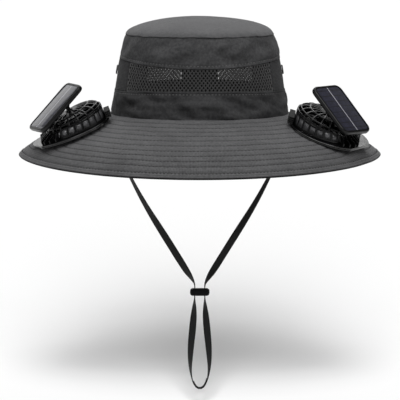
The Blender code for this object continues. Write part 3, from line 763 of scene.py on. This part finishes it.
def quilted_brim():
    rings = brim_rings()
    last = len(rings) - 1

    def ring_share(v):
        return rings[round(v * last)]

    bm = metre_grid(300, last, (0.86, BRIM_WIDTH), ring_share)
    # each vertex keeps how deep its stitch groove is, which the cloth reads for its painted shade
    groove_shade = bm.verts.layers.float.new("groove_shade")
    for vert in bm.verts:
        share = ring_share(vert.co.y + 0.5)
        vert[groove_shade] = groove(share)
        vert.co = quilted_point(2 * pi * (vert.co.x + 0.5), share)
    close_up(bm)
    turn_out(bm, upward)
    obj = finish_piece("brim_cloth", bm, BRIM_CLOTH, nodes=["brim"], sharp=50)
    give_wall(obj, BRIM_THICK - 0.4 * MM)


quilted_brim()

# %% [markdown]
# A strip of bias-cut cloth is folded over the brim's edge and sewn through. Its section is a flat oval,
# which the grid wraps round while it follows the edge, so both ends of the grid meet and are merged.

# %% Bind the edge
BINDING_OVAL_POWER = 0.65


def signed_power(value, power):
    return abs(value) ** power * (1 if value >= 0 else -1)


def binding_surface(u, v):
    turn = 2 * pi * u
    start = brim_point(turn, 1 - BINDING_WIDTH / BRIM_WIDTH)
    edge = brim_point(turn, 1.0)
    ahead = brim_point(turn + 0.002, 1.0) - brim_point(turn - 0.002, 1.0)
    reach = edge - start
    up = reach.cross(ahead).normalized()
    if up.z < 0:
        up = -up
    round_it = 2 * pi * v
    centre = (start + edge) / 2 - up * (BINDING_THICK / 2 - CLEAR)
    across = signed_power(cos(round_it), BINDING_OVAL_POWER) * reach / 2
    return centre + across + up * (signed_power(sin(round_it), BINDING_OVAL_POWER) * BINDING_THICK / 2)


binding = metre_grid(300, 14, (1.17, 12 * MM))
bend(binding, binding_surface)
close_up(binding)
finish_piece("brim_binding_tape", binding, BINDING_CLOTH, nodes=["brim_binding"], sharp=60)

# %% [markdown]
# ## Stitching
# A lockstitch shows as a row of short dashes of thread, each lying in a small pull of the cloth. There are
# thousands, so each is the smallest round solid, twenty faces, stretched to a dash. Rows are sewn by one
# function that walks along a surface and asks it for its direction at each dash.

# %% Thread material and the sewing function
STITCH = 2.5 * MM
STITCH_GAP = 1.3 * MM
THREAD_THICK = 1.0 * MM


def sewing_thread(name, shade):
    """Spun polyester thread: a twisted yarn, slightly glossy."""
    made, shader = new_material(name)
    place = add_node(made, "TexCoord", out="Object")
    twist = add_node(made, "TexNoise", {"Vector": place, "Scale": 1 / (0.6 * MM), "Detail": 1.0})
    mix = {"Fac": 0.5, "Color1": shade, "Color2": twist}
    feed(shader, {"Base Color": add_node(made, "MixRGB", mix, blend_type="MULTIPLY"), "Roughness": 0.6})
    return made


DARK_THREAD = sewing_thread("spun polyester thread, dark", "#161616")
PALE_THREAD = sewing_thread("spun polyester thread, grey", "#6e6e6e")


def join(bm, other):
    """Adds one mesh to another."""
    mesh = take_mesh("part", other)
    bm.from_mesh(mesh)
    bpy.data.meshes.remove(mesh)


def sew(rows, place, inside):
    """A mesh of stitches in rows round a surface. A row is a share of its height."""
    out = bmesh.new()
    for v in rows:
        line = bmesh.new()
        count = round(route_length([place(i / 90, v) for i in range(91)]) / (STITCH + STITCH_GAP))
        for i in range(count):
            u = (i + 0.5) / count
            here = place(u, v)
            along = (place(u + 0.0006, v) - place(u - 0.0006, v)).normalized()
            up = along.cross(place(u, v + 0.004) - place(u, v - 0.004)).normalized()
            if up.dot(here - Vector(inside)) < 0:
                up = -up
            turn = Matrix((along, up.cross(along), up)).transposed().to_4x4()
            shape = Matrix.Diagonal((STITCH, THREAD_THICK, THREAD_THICK * 0.8, 1))
            bmesh.ops.create_icosphere(line, subdivisions=1, radius=0.5,
                                       matrix=Matrix.Translation(here) @ turn @ shape)
        join(out, line)
    return out


# %% Sew the brim and the crown
def brim_row(u, v):
    return quilted_point(2 * pi * u, v)


SEAMS = (
    # name, rows as shares of the surface's height, surface, a point inside it, thread
    ("brim_stitches", QUILT_SHARES, brim_row, (0, 0, -1), DARK_THREAD),
    ("binding_stitches", (0.36,), binding_surface, (0, 0, -1), DARK_THREAD),
    ("lower_band_stitches", (1 - PRESS_WIDTH / LOWER_WIDTH,), lower_band, (0, 0, 0), PALE_THREAD),
    ("upper_band_stitches", (PRESS_WIDTH / (28 * MM),), upper_band, (0, 0, 0), PALE_THREAD),
)
for name, rows, place, inside, thread in SEAMS:
    finish_piece(name, sew(rows, place, inside), thread, sharp=180)

# %% [markdown]
# ## Moulded plastic
# The fan units are injection-moulded ABS, black and polished in the mould. What shows the shape is not the
# colour but the reflections, so the surface is smooth, with only a faint waviness from cooling. The slider
# and the louvres are matt acetal. The panes in the drums are grey, paler than the drum, as painted light.

# %% Moulded plastics and painted metal


def moulded_abs(name, low, high, level):
    """Injection-moulded ABS: black with a faint waviness, its roughness from low to high."""
    made, shader = new_material(name)
    place = add_node(made, "TexCoord", out="Object")
    flow = add_node(made, "TexNoise", {"Vector": place, "Scale": 1 / (9 * MM), "Detail": 2.0})
    dust = add_node(made, "TexNoise", {"Vector": place, "Scale": 1 / (1.4 * MM), "Detail": 4.0})
    feed(shader, {
        "Base Color": add_node(made, "ValToRGB", {"Fac": flow}, stops=((0.35, "#060607"), (0.7, "#0e0e0f"))),
        "Roughness": add_node(made, "MapRange", {"Value": dust, "To Min": low, "To Max": high}),
        "Normal": add_node(made, "Bump", {"Height": flow, "Strength": 0.15, "Distance": 0.4 * MM}),
        "IOR": 1.53,
        "Specular IOR Level": level,
    })
    return made


ABS = moulded_abs("injection-moulded ABS", 0.22, 0.40, 0.24)
BASE_ABS = moulded_abs("polished injection-moulded ABS", 0.12, 0.24, 0.50)
# A pressed brass stud under black paint is a little worn on its rim.
STUD = flecked("black painted brass stud", 1.5 * MM, 4.0, ((0.45, "#232324"), (0.75, "#3e3e40")),
               {"Roughness": 0.35})
# Acetal from an eroded mould is black, matt, and a little waxy.
ACETAL = flecked("moulded matt acetal", 0.7 * MM, 3.0, ((0.3, "#262626"), (0.7, "#363636")),
                 {"Roughness": 0.7, "IOR": 1.48, "Specular IOR Level": 0.08}, (0.3, 0.1 * MM))
# The panes are dark grey and a little glossy; their grey, paler than the black drum, is painted light where
# the drum's windows show light.
PANE = flecked("grey pane, painted light", 6 * MM, 3.0, ((0.3, "#48484a"), (0.7, "#6a6a6c")),
               {"Roughness": 0.30, "IOR": 1.58})
SIDE_NAMES = {-1: "left", 1: "right"}
REPAINTED = {"strap_slider": ACETAL}
for side_name in SIDE_NAMES.values():
    REPAINTED[f"side_snap_{side_name}"] = STUD
    for part in ("fan_clamp", "fan_rotor", "fan_motor", "panel_post"):
        REPAINTED[f"{part}_{side_name}"] = ABS
for node, material in REPAINTED.items():
    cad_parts[node].data.materials.clear()
    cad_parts[node].data.materials.append(material)
print("repainted the solids that stay:", len(REPAINTED))

# %% [markdown]
# ## Fan units
# A fan unit stands on a round plate. On the plate is a drum that rises from the outside towards the crown,
# so that the fan blows under the brim at a slant. Windows between ribs let air in round it, and a flat dome
# of ribs and rings guards the blades. Everything is made in the unit's own frame and moved into place at the
# end, so that left and right come out of the same functions.

# %% Base plate
BASE_RADIUS = 41.0 * MM
BASE_REACH = 36.5 * MM
BASE_THICK = 2.4 * MM
# millimetres in from the edge and up: a small foot, the edge, a groove round it and a lip
BASE_RIM = ((0.4, 0), (0, 0.3), (0, 0.8), (0.3, 1.0), (1.1, 1.05), (1.1, 1.45), (0.7, 1.6), (0.7, 2.1))


def turned(profile, steps):
    """A mesh turned from a profile of radius and height."""
    bm = bmesh.new()
    verts = [bm.verts.new((radius, 0, height)) for radius, height in profile]
    edges = [bm.edges.new(pair) for pair in zip(verts, verts[1:])]
    whole_turn = {"cent": (0, 0, 0), "axis": (0, 0, 1), "angle": 2 * pi, "use_merge": True}
    bmesh.ops.spin(bm, geom=verts + edges, steps=steps, **whole_turn)
    close_up(bm)
    return bm


def fan_piece(name, node, side, bm, material=ABS, sharp=35):
    """Moves a piece of a fan unit to its place on the brim and finishes it."""
    bm.transform(fan_frame(side))
    suffix = SIDE_NAMES[side]
    return finish_piece(f"{name}_{suffix}", bm, material, nodes=[f"{node}_{suffix}"], sharp=sharp)


def base_plate(side):
    rim = [(BASE_RADIUS - inwards * MM, height * MM) for inwards, height in BASE_RIM]
    bm = turned([(0, 0)] + rim + [(BASE_RADIUS - 1.0 * MM, BASE_THICK), (0, BASE_THICK)], 96)
    end_turn = radians(FAN_PLACES[side][-1])
    end = Vector((side * cos(end_turn), -sin(end_turn), 0))
    whole = bm.verts[:] + bm.edges[:] + bm.faces[:]
    bmesh.ops.bisect_plane(bm, geom=whole, plane_co=end * BASE_REACH, plane_no=end, clear_outer=True)
    bmesh.ops.holes_fill(bm, edges=[e for e in bm.edges if e.is_boundary])
    fan_piece("base_plate", "fan_base", side, bm, BASE_ABS)


for side in SIDE_NAMES:
    base_plate(side)

# %% [markdown]
# The drum's wall joins a round foot to a round rim that is tilted, and goes up to the guard's first ring, so
# that it hides the flange on which the guard stands. Three loops are laid between the two and bridged, which
# gives flat facets. Each upper facet is inset twice, and the second time it is sunk as well, which leaves a
# rib between each two facets. A pane leans in each pocket, because the slanted panes catch the light in the
# photograph; their grey, paler than the drum's black, is painted light as well. Fins fan out on the base at
# the drum's outer end.

# %% Drum
DRUM_RADIUS = 32.8 * MM
DRUM_SHIFT = 5.4 * MM
DRUM_SILL = 0.08
DRUM_BAYS = 24
RING_RADIUS = 30.5 * MM
RING_SHIFT = 8.0 * MM
RING_HEIGHT = 8.6 * MM
RING_TILT = 8.8
SMALLEST_BAY = 14 * MM * MM
RIB = 1.5 * MM
POCKET = 0.9 * MM
FINS = 6
FIN_STEP = 11.0
FIN_START = 24.0 * MM
FIN_REACH = 38.0 * MM
FIN_SETBACK = 6.5 * MM
FIN_THICK = 1.2 * MM
FIN_HEIGHT = 7.5 * MM
SKIRT_RADIUS = 30.9 * MM
SKIRT_RISE = 2.6 * MM


def ring_frame(side):
    """The frame of the fan's slanted ring, in the frame of its unit."""
    tilt = Matrix.Rotation(side * radians(RING_TILT), 4, "Y")
    return Matrix.Translation((-side * RING_SHIFT, 0, BASE_THICK + RING_HEIGHT)) @ tilt


def block(bm, centre, size, turn=Matrix()):
    """Adds a block to a mesh, turned about the origin, and gives its corners."""
    matrix = turn @ Matrix.Translation(centre) @ Matrix.Diagonal((*size, 1))
    return bmesh.ops.create_cube(bm, size=1.0, matrix=matrix)["verts"]


def drum_wall(side):
    """The wall of the drum before its pockets, and its upper facets."""
    bm = bmesh.new()
    circles = (
        (DRUM_RADIUS, Matrix.Translation((-side * DRUM_SHIFT, 0, BASE_THICK + CLEAR))),
        (1.0, Matrix()),
        (SKIRT_RADIUS, ring_frame(side) @ Matrix.Translation((0, 0, SKIRT_RISE))),
    )
    foot, sill, rim = (bmesh.ops.create_circle(bm, segments=DRUM_BAYS, radius=radius, matrix=matrix)["verts"]
                       for radius, matrix in circles)
    for low, between, high in zip(foot, sill, rim):
        between.co = low.co.lerp(high.co, DRUM_SILL)
    edges = bm.edges[:]
    bmesh.ops.bridge_loops(bm, edges=edges[:2 * DRUM_BAYS])
    upper = bmesh.ops.bridge_loops(bm, edges=edges[DRUM_BAYS:])["faces"]
    bmesh.ops.recalc_face_normals(bm, faces=bm.faces)
    middle = Vector((-side * RING_SHIFT, 0, 0))
    turn_out(bm, lambda place: place - middle)
    return bm, [f for f in upper if f.calc_area() > SMALLEST_BAY]


def add_fins(bm, side):
    """Fins that fan out on the base, each lower at its outer end."""
    for i in range(-FINS, FINS + 1):
        turn = radians(i * FIN_STEP)
        reach = min(FIN_REACH, (BASE_REACH - FIN_SETBACK) / max(cos(turn), 0.1))
        length = reach - FIN_START
        centre = (FIN_START + length / 2, 0, BASE_THICK + CLEAR + FIN_HEIGHT / 2)
        way = Matrix.Rotation(turn if side > 0 else pi - turn, 4, "Z")
        for vert in block(bm, centre, (length, FIN_THICK, FIN_HEIGHT), way):
            if vert.co.z > FIN_HEIGHT / 2 + BASE_THICK and vert.co.xy.length > centre[0]:
                vert.co.z -= FIN_HEIGHT * 0.6


def drum(side):
    bm, facets = drum_wall(side)
    bmesh.ops.inset_individual(bm, faces=facets, thickness=RIB / 2, use_even_offset=True)
    bmesh.ops.inset_individual(bm, faces=facets, thickness=0.35 * MM, depth=-POCKET, use_even_offset=True)
    add_fins(bm, side)
    panes = bmesh.new()
    for facet in facets:
        low, high = (f(v.co.z for v in facet.verts) for f in (min, max))
        corners = []
        for vert in facet.verts:
            rise = (vert.co.z - low) / (high - low)
            lean = POCKET * (0.95 - 1.25 * rise) + 0.1 * MM
            corners.append(panes.verts.new(vert.co + facet.normal * lean))
        panes.faces.new(corners)
    give_wall(fan_piece("drum_panes", "fan_housing", side, panes, PANE, 20), 0.5 * MM)
    obj = fan_piece("drum", "fan_housing", side, bm, sharp=20)
    give_wall(obj, 1.2 * MM)
    round_edges(obj, 0.22 * MM)


for side in SIDE_NAMES:
    drum(side)

# %% [markdown]
# The guard is turned from a flat arc and opened bay by bay in three bands, which leaves ribs and rings. Its
# middle stays closed: the panel's post stands there.

# %% Guard
BAYS = 18
BAY_COLUMNS = 4
CAGE_WALL = 1.5 * MM
CAGE_RIB = 1.7 * MM
CAGE_ARC = (
    # radius share of the ring, height above its plane in millimetres, band
    (1.000, -1.2, 0),
    (1.000, 0.0, 0),
    (0.985, 2.1, 1),
    (0.960, 4.0, 1),
    (0.930, 5.3, 1),
    (0.860, 7.0, 2),
    (0.770, 8.5, 2),
    (0.660, 9.4, 2),
    (0.530, 10.1, 3),
    (0.400, 10.5, 3),
    (0.260, 10.7, 3),
)


def open_bays(bm, faces, rib):
    """Groups faces by their bay round the z axis, insets each group by half a rib and opens it."""
    bays = {}
    for face in faces:
        middle = face.calc_center_median()
        bay = int((atan2(middle.y, middle.x) / (2 * pi) % 1.0) * BAYS)
        bays.setdefault(bay, []).append(face)
    for group in bays.values():
        bmesh.ops.inset_region(bm, faces=group, thickness=rib / 2, use_even_offset=True)
        bmesh.ops.delete(bm, geom=group, context="FACES")


def guard(side):
    bm = turned([(RING_RADIUS * share, height * MM) for share, height, band in CAGE_ARC], BAYS * BAY_COLUMNS)
    turn_out(bm, upward)
    hub = [e for e in bm.edges if e.is_boundary and e.verts[0].co.z > 10 * MM]
    bands = {}
    for face in bm.faces:
        height = face.calc_center_median().z / MM
        for lower, upper in zip(CAGE_ARC, CAGE_ARC[1:]):
            if lower[1] < height < upper[1]:
                bands.setdefault(upper[2], []).append(face)
    bmesh.ops.holes_fill(bm, edges=hub, sides=BAYS * BAY_COLUMNS)
    for band in (1, 2, 3):
        open_bays(bm, bands[band], CAGE_RIB)
    bm.transform(ring_frame(side))
    give_wall(fan_piece("guard", "fan_cage", side, bm), CAGE_WALL)


for side in SIDE_NAMES:
    guard(side)

# %% [markdown]
# The vent at the drum's inner end is a stack of louvres on a block.

# %% Vent
VENT_WIDTH = 25.0 * MM
VENT_HEIGHT = 7.8 * MM
VENT_REACH = BASE_RADIUS + 3.0 * MM
VENT_BACK = 38.3 * MM
LOUVRES = 4


def vent(side):
    bm = bmesh.new()
    low = BASE_THICK + CLEAR
    pitch = VENT_HEIGHT / LOUVRES
    depth = VENT_REACH - VENT_BACK
    middle = -side * (VENT_REACH + VENT_BACK) / 2
    for row in range(LOUVRES):
        block(bm, (middle, 0, low + pitch * (row + 0.5)), (depth, VENT_WIDTH, pitch * 0.62))
    core = (depth - 2 * MM, VENT_WIDTH - 2 * MM, VENT_HEIGHT - 1 * MM)
    block(bm, (middle, 0, low + VENT_HEIGHT / 2), core)
    round_edges(fan_piece("vent", "fan_vent", side, bm, ACETAL), 0.35 * MM)


for side in SIDE_NAMES:
    vent(side)

# %% [markdown]
# ## Solar panels
# Each panel is a shallow tray with rounded corners, on a cup that grips the ball of its post. A solar cell
# lies in the tray under clear resin: dark blue silicon in eight strips, fine silver fingers across them, and
# one silver bus line along the middle. The strips and lines are real distances on the cell's UV map.

# %% Solar cell material
STRIP = 6.8 * MM
FINGER = 1.7 * MM
PANEL_LENGTH = 61.0 * MM
PANEL_WIDTH = 44.0 * MM
PANEL_THICK = 5.0 * MM
PANEL_CORNER = 7.5 * MM
PANEL_EDGE = 1.5 * MM
PANEL_OFFSET = 9.0 * MM
PANEL_FRAME = 2.6 * MM
CELL_THICK = 1.0 * MM
CELL_SINK = 0.3 * MM
BALL_RADIUS = 3.5 * MM
CUP_WALL = 2.2 * MM
STUD_RADIUS = 2.2 * MM
PANEL_POSES = {
    # azimuth forward of the side and tilt from level, in degrees
    -1: (20.0, 47.0),
    1: (38.0, 46.5),
}


def solar_cell_material():
    """Monocrystalline silicon under epoxy: dark blue, glossy, ruled with silver paste."""
    made, shader = new_material("silicon cell under clear epoxy")
    place = add_node(made, "TexCoord", out="UV")
    along, across = (add_node(made, "SeparateXYZ", {"Vector": place}, axis) for axis in "XY")
    off_middle = add_node(made, "Math", {0: across, 1: PANEL_WIDTH / 2 - PANEL_FRAME}, operation="SUBTRACT")
    lines = (
        # distance from the line, its half width, its colour: fingers, strips, bus
        (add_node(made, "Math", {0: across, 1: FINGER / 2}, operation="PINGPONG"), 0.12 * MM, "#3a3a48"),
        (add_node(made, "Math", {0: along, 1: STRIP / 2}, operation="PINGPONG"), 0.42 * MM, "#05050a"),
        (add_node(made, "Math", {0: off_middle}, operation="ABSOLUTE"), 0.45 * MM, "#b9b9c0"),
    )
    grain = add_node(made, "TexNoise", {"Vector": place, "Scale": 1 / (5 * MM), "Detail": 3.0})
    tint = add_node(made, "ValToRGB", {"Fac": grain}, stops=((0.35, "#151522"), (0.7, "#242436")))
    for distance, half_width, shade in lines:
        on_line = add_node(made, "Math", {0: distance, 1: half_width}, operation="LESS_THAN")
        tint = add_node(made, "MixRGB", {"Fac": on_line, "Color1": tint, "Color2": shade})
    feed(shader, {"Base Color": tint, "Roughness": 0.35, "Specular IOR Level": 0.3, "Coat Weight": 0.75,
                  "Coat Roughness": 0.06})
    return made


CELL = solar_cell_material()

# %% Trays and cells


def panel_matrix(side):
    """The panel's frame: x runs downhill, y across and z out of its face, round the ball's centre."""
    azimuth, tilt = (radians(a) for a in PANEL_POSES[side])
    heading = Vector((side * cos(azimuth), -sin(azimuth), 0))
    face = heading * sin(tilt) + Vector((0, 0, cos(tilt)))
    down = heading * cos(tilt) - Vector((0, 0, sin(tilt)))
    turn = Matrix((down, face.cross(down), face)).transposed().to_4x4()
    ball = CAGE_ARC[-1][1] * MM + CLEAR + STUD_RADIUS + BALL_RADIUS
    centre = fan_frame(side) @ ring_frame(side) @ Vector((0, 0, ball))
    return Matrix.Translation(centre) @ turn


def rounded_block(length, width, bottom, top, corner, edge):
    """A block with round corners in plan and softened edges."""
    bm = bmesh.new()
    block(bm, (PANEL_OFFSET, 0, (top + bottom) / 2), (length, width, top - bottom))
    for upright, offset, segments in ((True, corner, 8), (False, edge, 3)):
        edges = [e for e in bm.edges if (abs(e.verts[0].co.z - e.verts[1].co.z) > 1e-6) == upright]
        bmesh.ops.bevel(
            bm, geom=edges, offset=offset, segments=segments, profile=0.5, affect="EDGES", material=-1
        )
    return bm


def panel_piece(name, node, side, bm, material):
    """Moves a piece of a panel to its place on the post and finishes it."""
    bm.transform(panel_matrix(side))
    suffix = SIDE_NAMES[side]
    finish_piece(f"{name}_{suffix}", bm, material, f"panel_{suffix}", [f"{node}_{suffix}"])


def tray(side):
    bottom = BALL_RADIUS + CLEAR * 2
    bm = rounded_block(PANEL_LENGTH, PANEL_WIDTH, bottom, bottom + PANEL_THICK, PANEL_CORNER, PANEL_EDGE)
    bm.normal_update()
    face = max(bm.faces, key=lambda f: f.calc_center_median().z)
    bmesh.ops.inset_region(bm, faces=[face], thickness=PANEL_FRAME - PANEL_EDGE)
    made = bmesh.ops.extrude_face_region(bm, geom=[face])
    sunk = [g for g in made["geom"] if isinstance(g, bmesh.types.BMVert)]
    bmesh.ops.translate(bm, vec=(0, 0, -(CELL_THICK + CELL_SINK + CLEAR)), verts=sunk)
    bmesh.ops.delete(bm, geom=[face], context="FACES")
    outer = BALL_RADIUS + CUP_WALL
    inner = BALL_RADIUS + CLEAR
    hollow = [(inner * cos(radians(a)), inner * sin(radians(a))) for a in (75, 60, 40, 20, 0)]
    join(bm, turned([(0.05 * MM, inner)] + hollow + [(outer, 0), (outer, bottom + 0.5 * MM)], 32))
    panel_piece("panel_tray", "panel_frame", side, bm, ABS)


def cell(side):
    inner = PANEL_FRAME + CLEAR
    top = BALL_RADIUS + CLEAR * 2 + PANEL_THICK - CELL_SINK
    bm = rounded_block(PANEL_LENGTH - inner * 2, PANEL_WIDTH - inner * 2, top - CELL_THICK, top,
                       PANEL_CORNER - inner, 0.15 * MM)
    uv = bm.loops.layers.uv.new("cell")
    for face in bm.faces:
        for loop in face.loops:
            at = loop.vert.co
            loop[uv].uv = (at.x - PANEL_OFFSET + PANEL_LENGTH / 2, at.y + PANEL_WIDTH / 2 - PANEL_FRAME)
    panel_piece("cell", "solar_cell", side, bm, CELL)


for side in SIDE_NAMES:
    tray(side)
    cell(side)

# %% [markdown]
# ## Studio
# The photograph was taken in a white studio: a pale floor without an end, soft light all round, and a shadow
# that falls far behind the hat. The main light comes from above and a little from the front, and the tip's
# cloth is painted lighter as well, which together make the top of the crown the palest part. Light linking
# keeps the soft lights off the floor and the shadow lights on it, so that each can be set by itself. The floor
# gives no light back to the hat, whose sides would turn pale.

# %% Floor
FLOOR_LEVEL = -0.292
FLOOR_HALF = 30.0

matt_paint, shader = new_material("matt painted studio floor")
feed(shader, {"Base Color": "#f6f6f6", "Roughness": 1.0, "Specular IOR Level": 0.0})
bm = bmesh.new()
ground = Matrix.Translation((0, 0, FLOOR_LEVEL))
bmesh.ops.create_grid(bm, x_segments=2, y_segments=2, size=FLOOR_HALF, matrix=ground)
floor = add_object("floor", take_mesh("floor", bm))
floor.data.materials.append(matt_paint)
floor.visible_diffuse = False
print("floor at", FLOOR_LEVEL)

# %% Lights
AMBIENT = 0.12
SUN_WIDTH = 12
FLOOR_WHITE = 0.92


def aim_light(obj, towards, state):
    """Turns a light to shine from a direction, and keeps it off the floor or on the floor alone."""
    obj.rotation_euler = Vector(towards).to_track_quat("Z", "Y").to_euler()
    receivers = bpy.data.collections.new(f"{obj.name} receivers")
    receivers.objects.link(floor)
    receivers.collection_objects[0].light_linking.link_state = state
    obj.light_linking.receiver_collection = receivers


def soft_light(name, towards, away, size, strength):
    """A soft light that looks at the hat from a direction. Strength is what it gives a facing surface."""
    light = bpy.data.lights.new(name, "AREA")
    light.shape = "RECTANGLE"
    light.size, light.size_y = size
    light.energy = strength * pi * away * away
    obj = add_object(name, light)
    obj.location = Vector(towards).normalized() * away
    aim_light(obj, towards, "EXCLUDE")


world = bpy.data.worlds.new("studio")
bpy.context.scene.world = world
world.use_nodes = True
feed(world.node_tree.nodes["Background"], {"Color": "#ffffff", "Strength": AMBIENT})
bpy.context.scene.view_settings.view_transform = "Standard"

SOFT_LIGHTS = (
    # name, direction, distance, width and height, strength
    ("key", (0.05, -0.55, 0.83), 2.5, (2.6, 1.5), 2.2),
    ("overhead", (-0.05, 0.1, 1.0), 2.0, (1.8, 1.8), 1.3),
    ("back key", (0.0, 0.75, 0.66), 2.5, (1.4, 1.0), 0.8),
    ("backdrop", (-0.1, 0.95, 0.26), 2.5, (3.6, 1.1), 0.5),
    ("left fill", (-0.93, -0.30, 0.30), 2.5, (1.6, 1.6), 0.32),
    ("right fill", (0.93, -0.30, 0.30), 2.5, (1.6, 1.6), 0.32),
)
for name, towards, away, size, strength in SOFT_LIGHTS:
    soft_light(name, towards, away, size, strength)


def shadow_light(name, elevation, strength):
    """A distant light from the front, for the floor alone. Strength is the floor's share of white."""
    sun = bpy.data.lights.new(name, "SUN")
    climb = radians(elevation)
    sun.energy = strength * pi / sin(climb) / FLOOR_WHITE
    sun.angle = radians(SUN_WIDTH)
    aim_light(add_object(name, sun), (0, -cos(climb), sin(climb)), "INCLUDE")


for elevation, share in ((13, 0.155), (18, 0.195), (24, 0.235), (31, 0.225), (41, 0.09)):
    shadow_light(f"shadow light {elevation}", elevation, share)
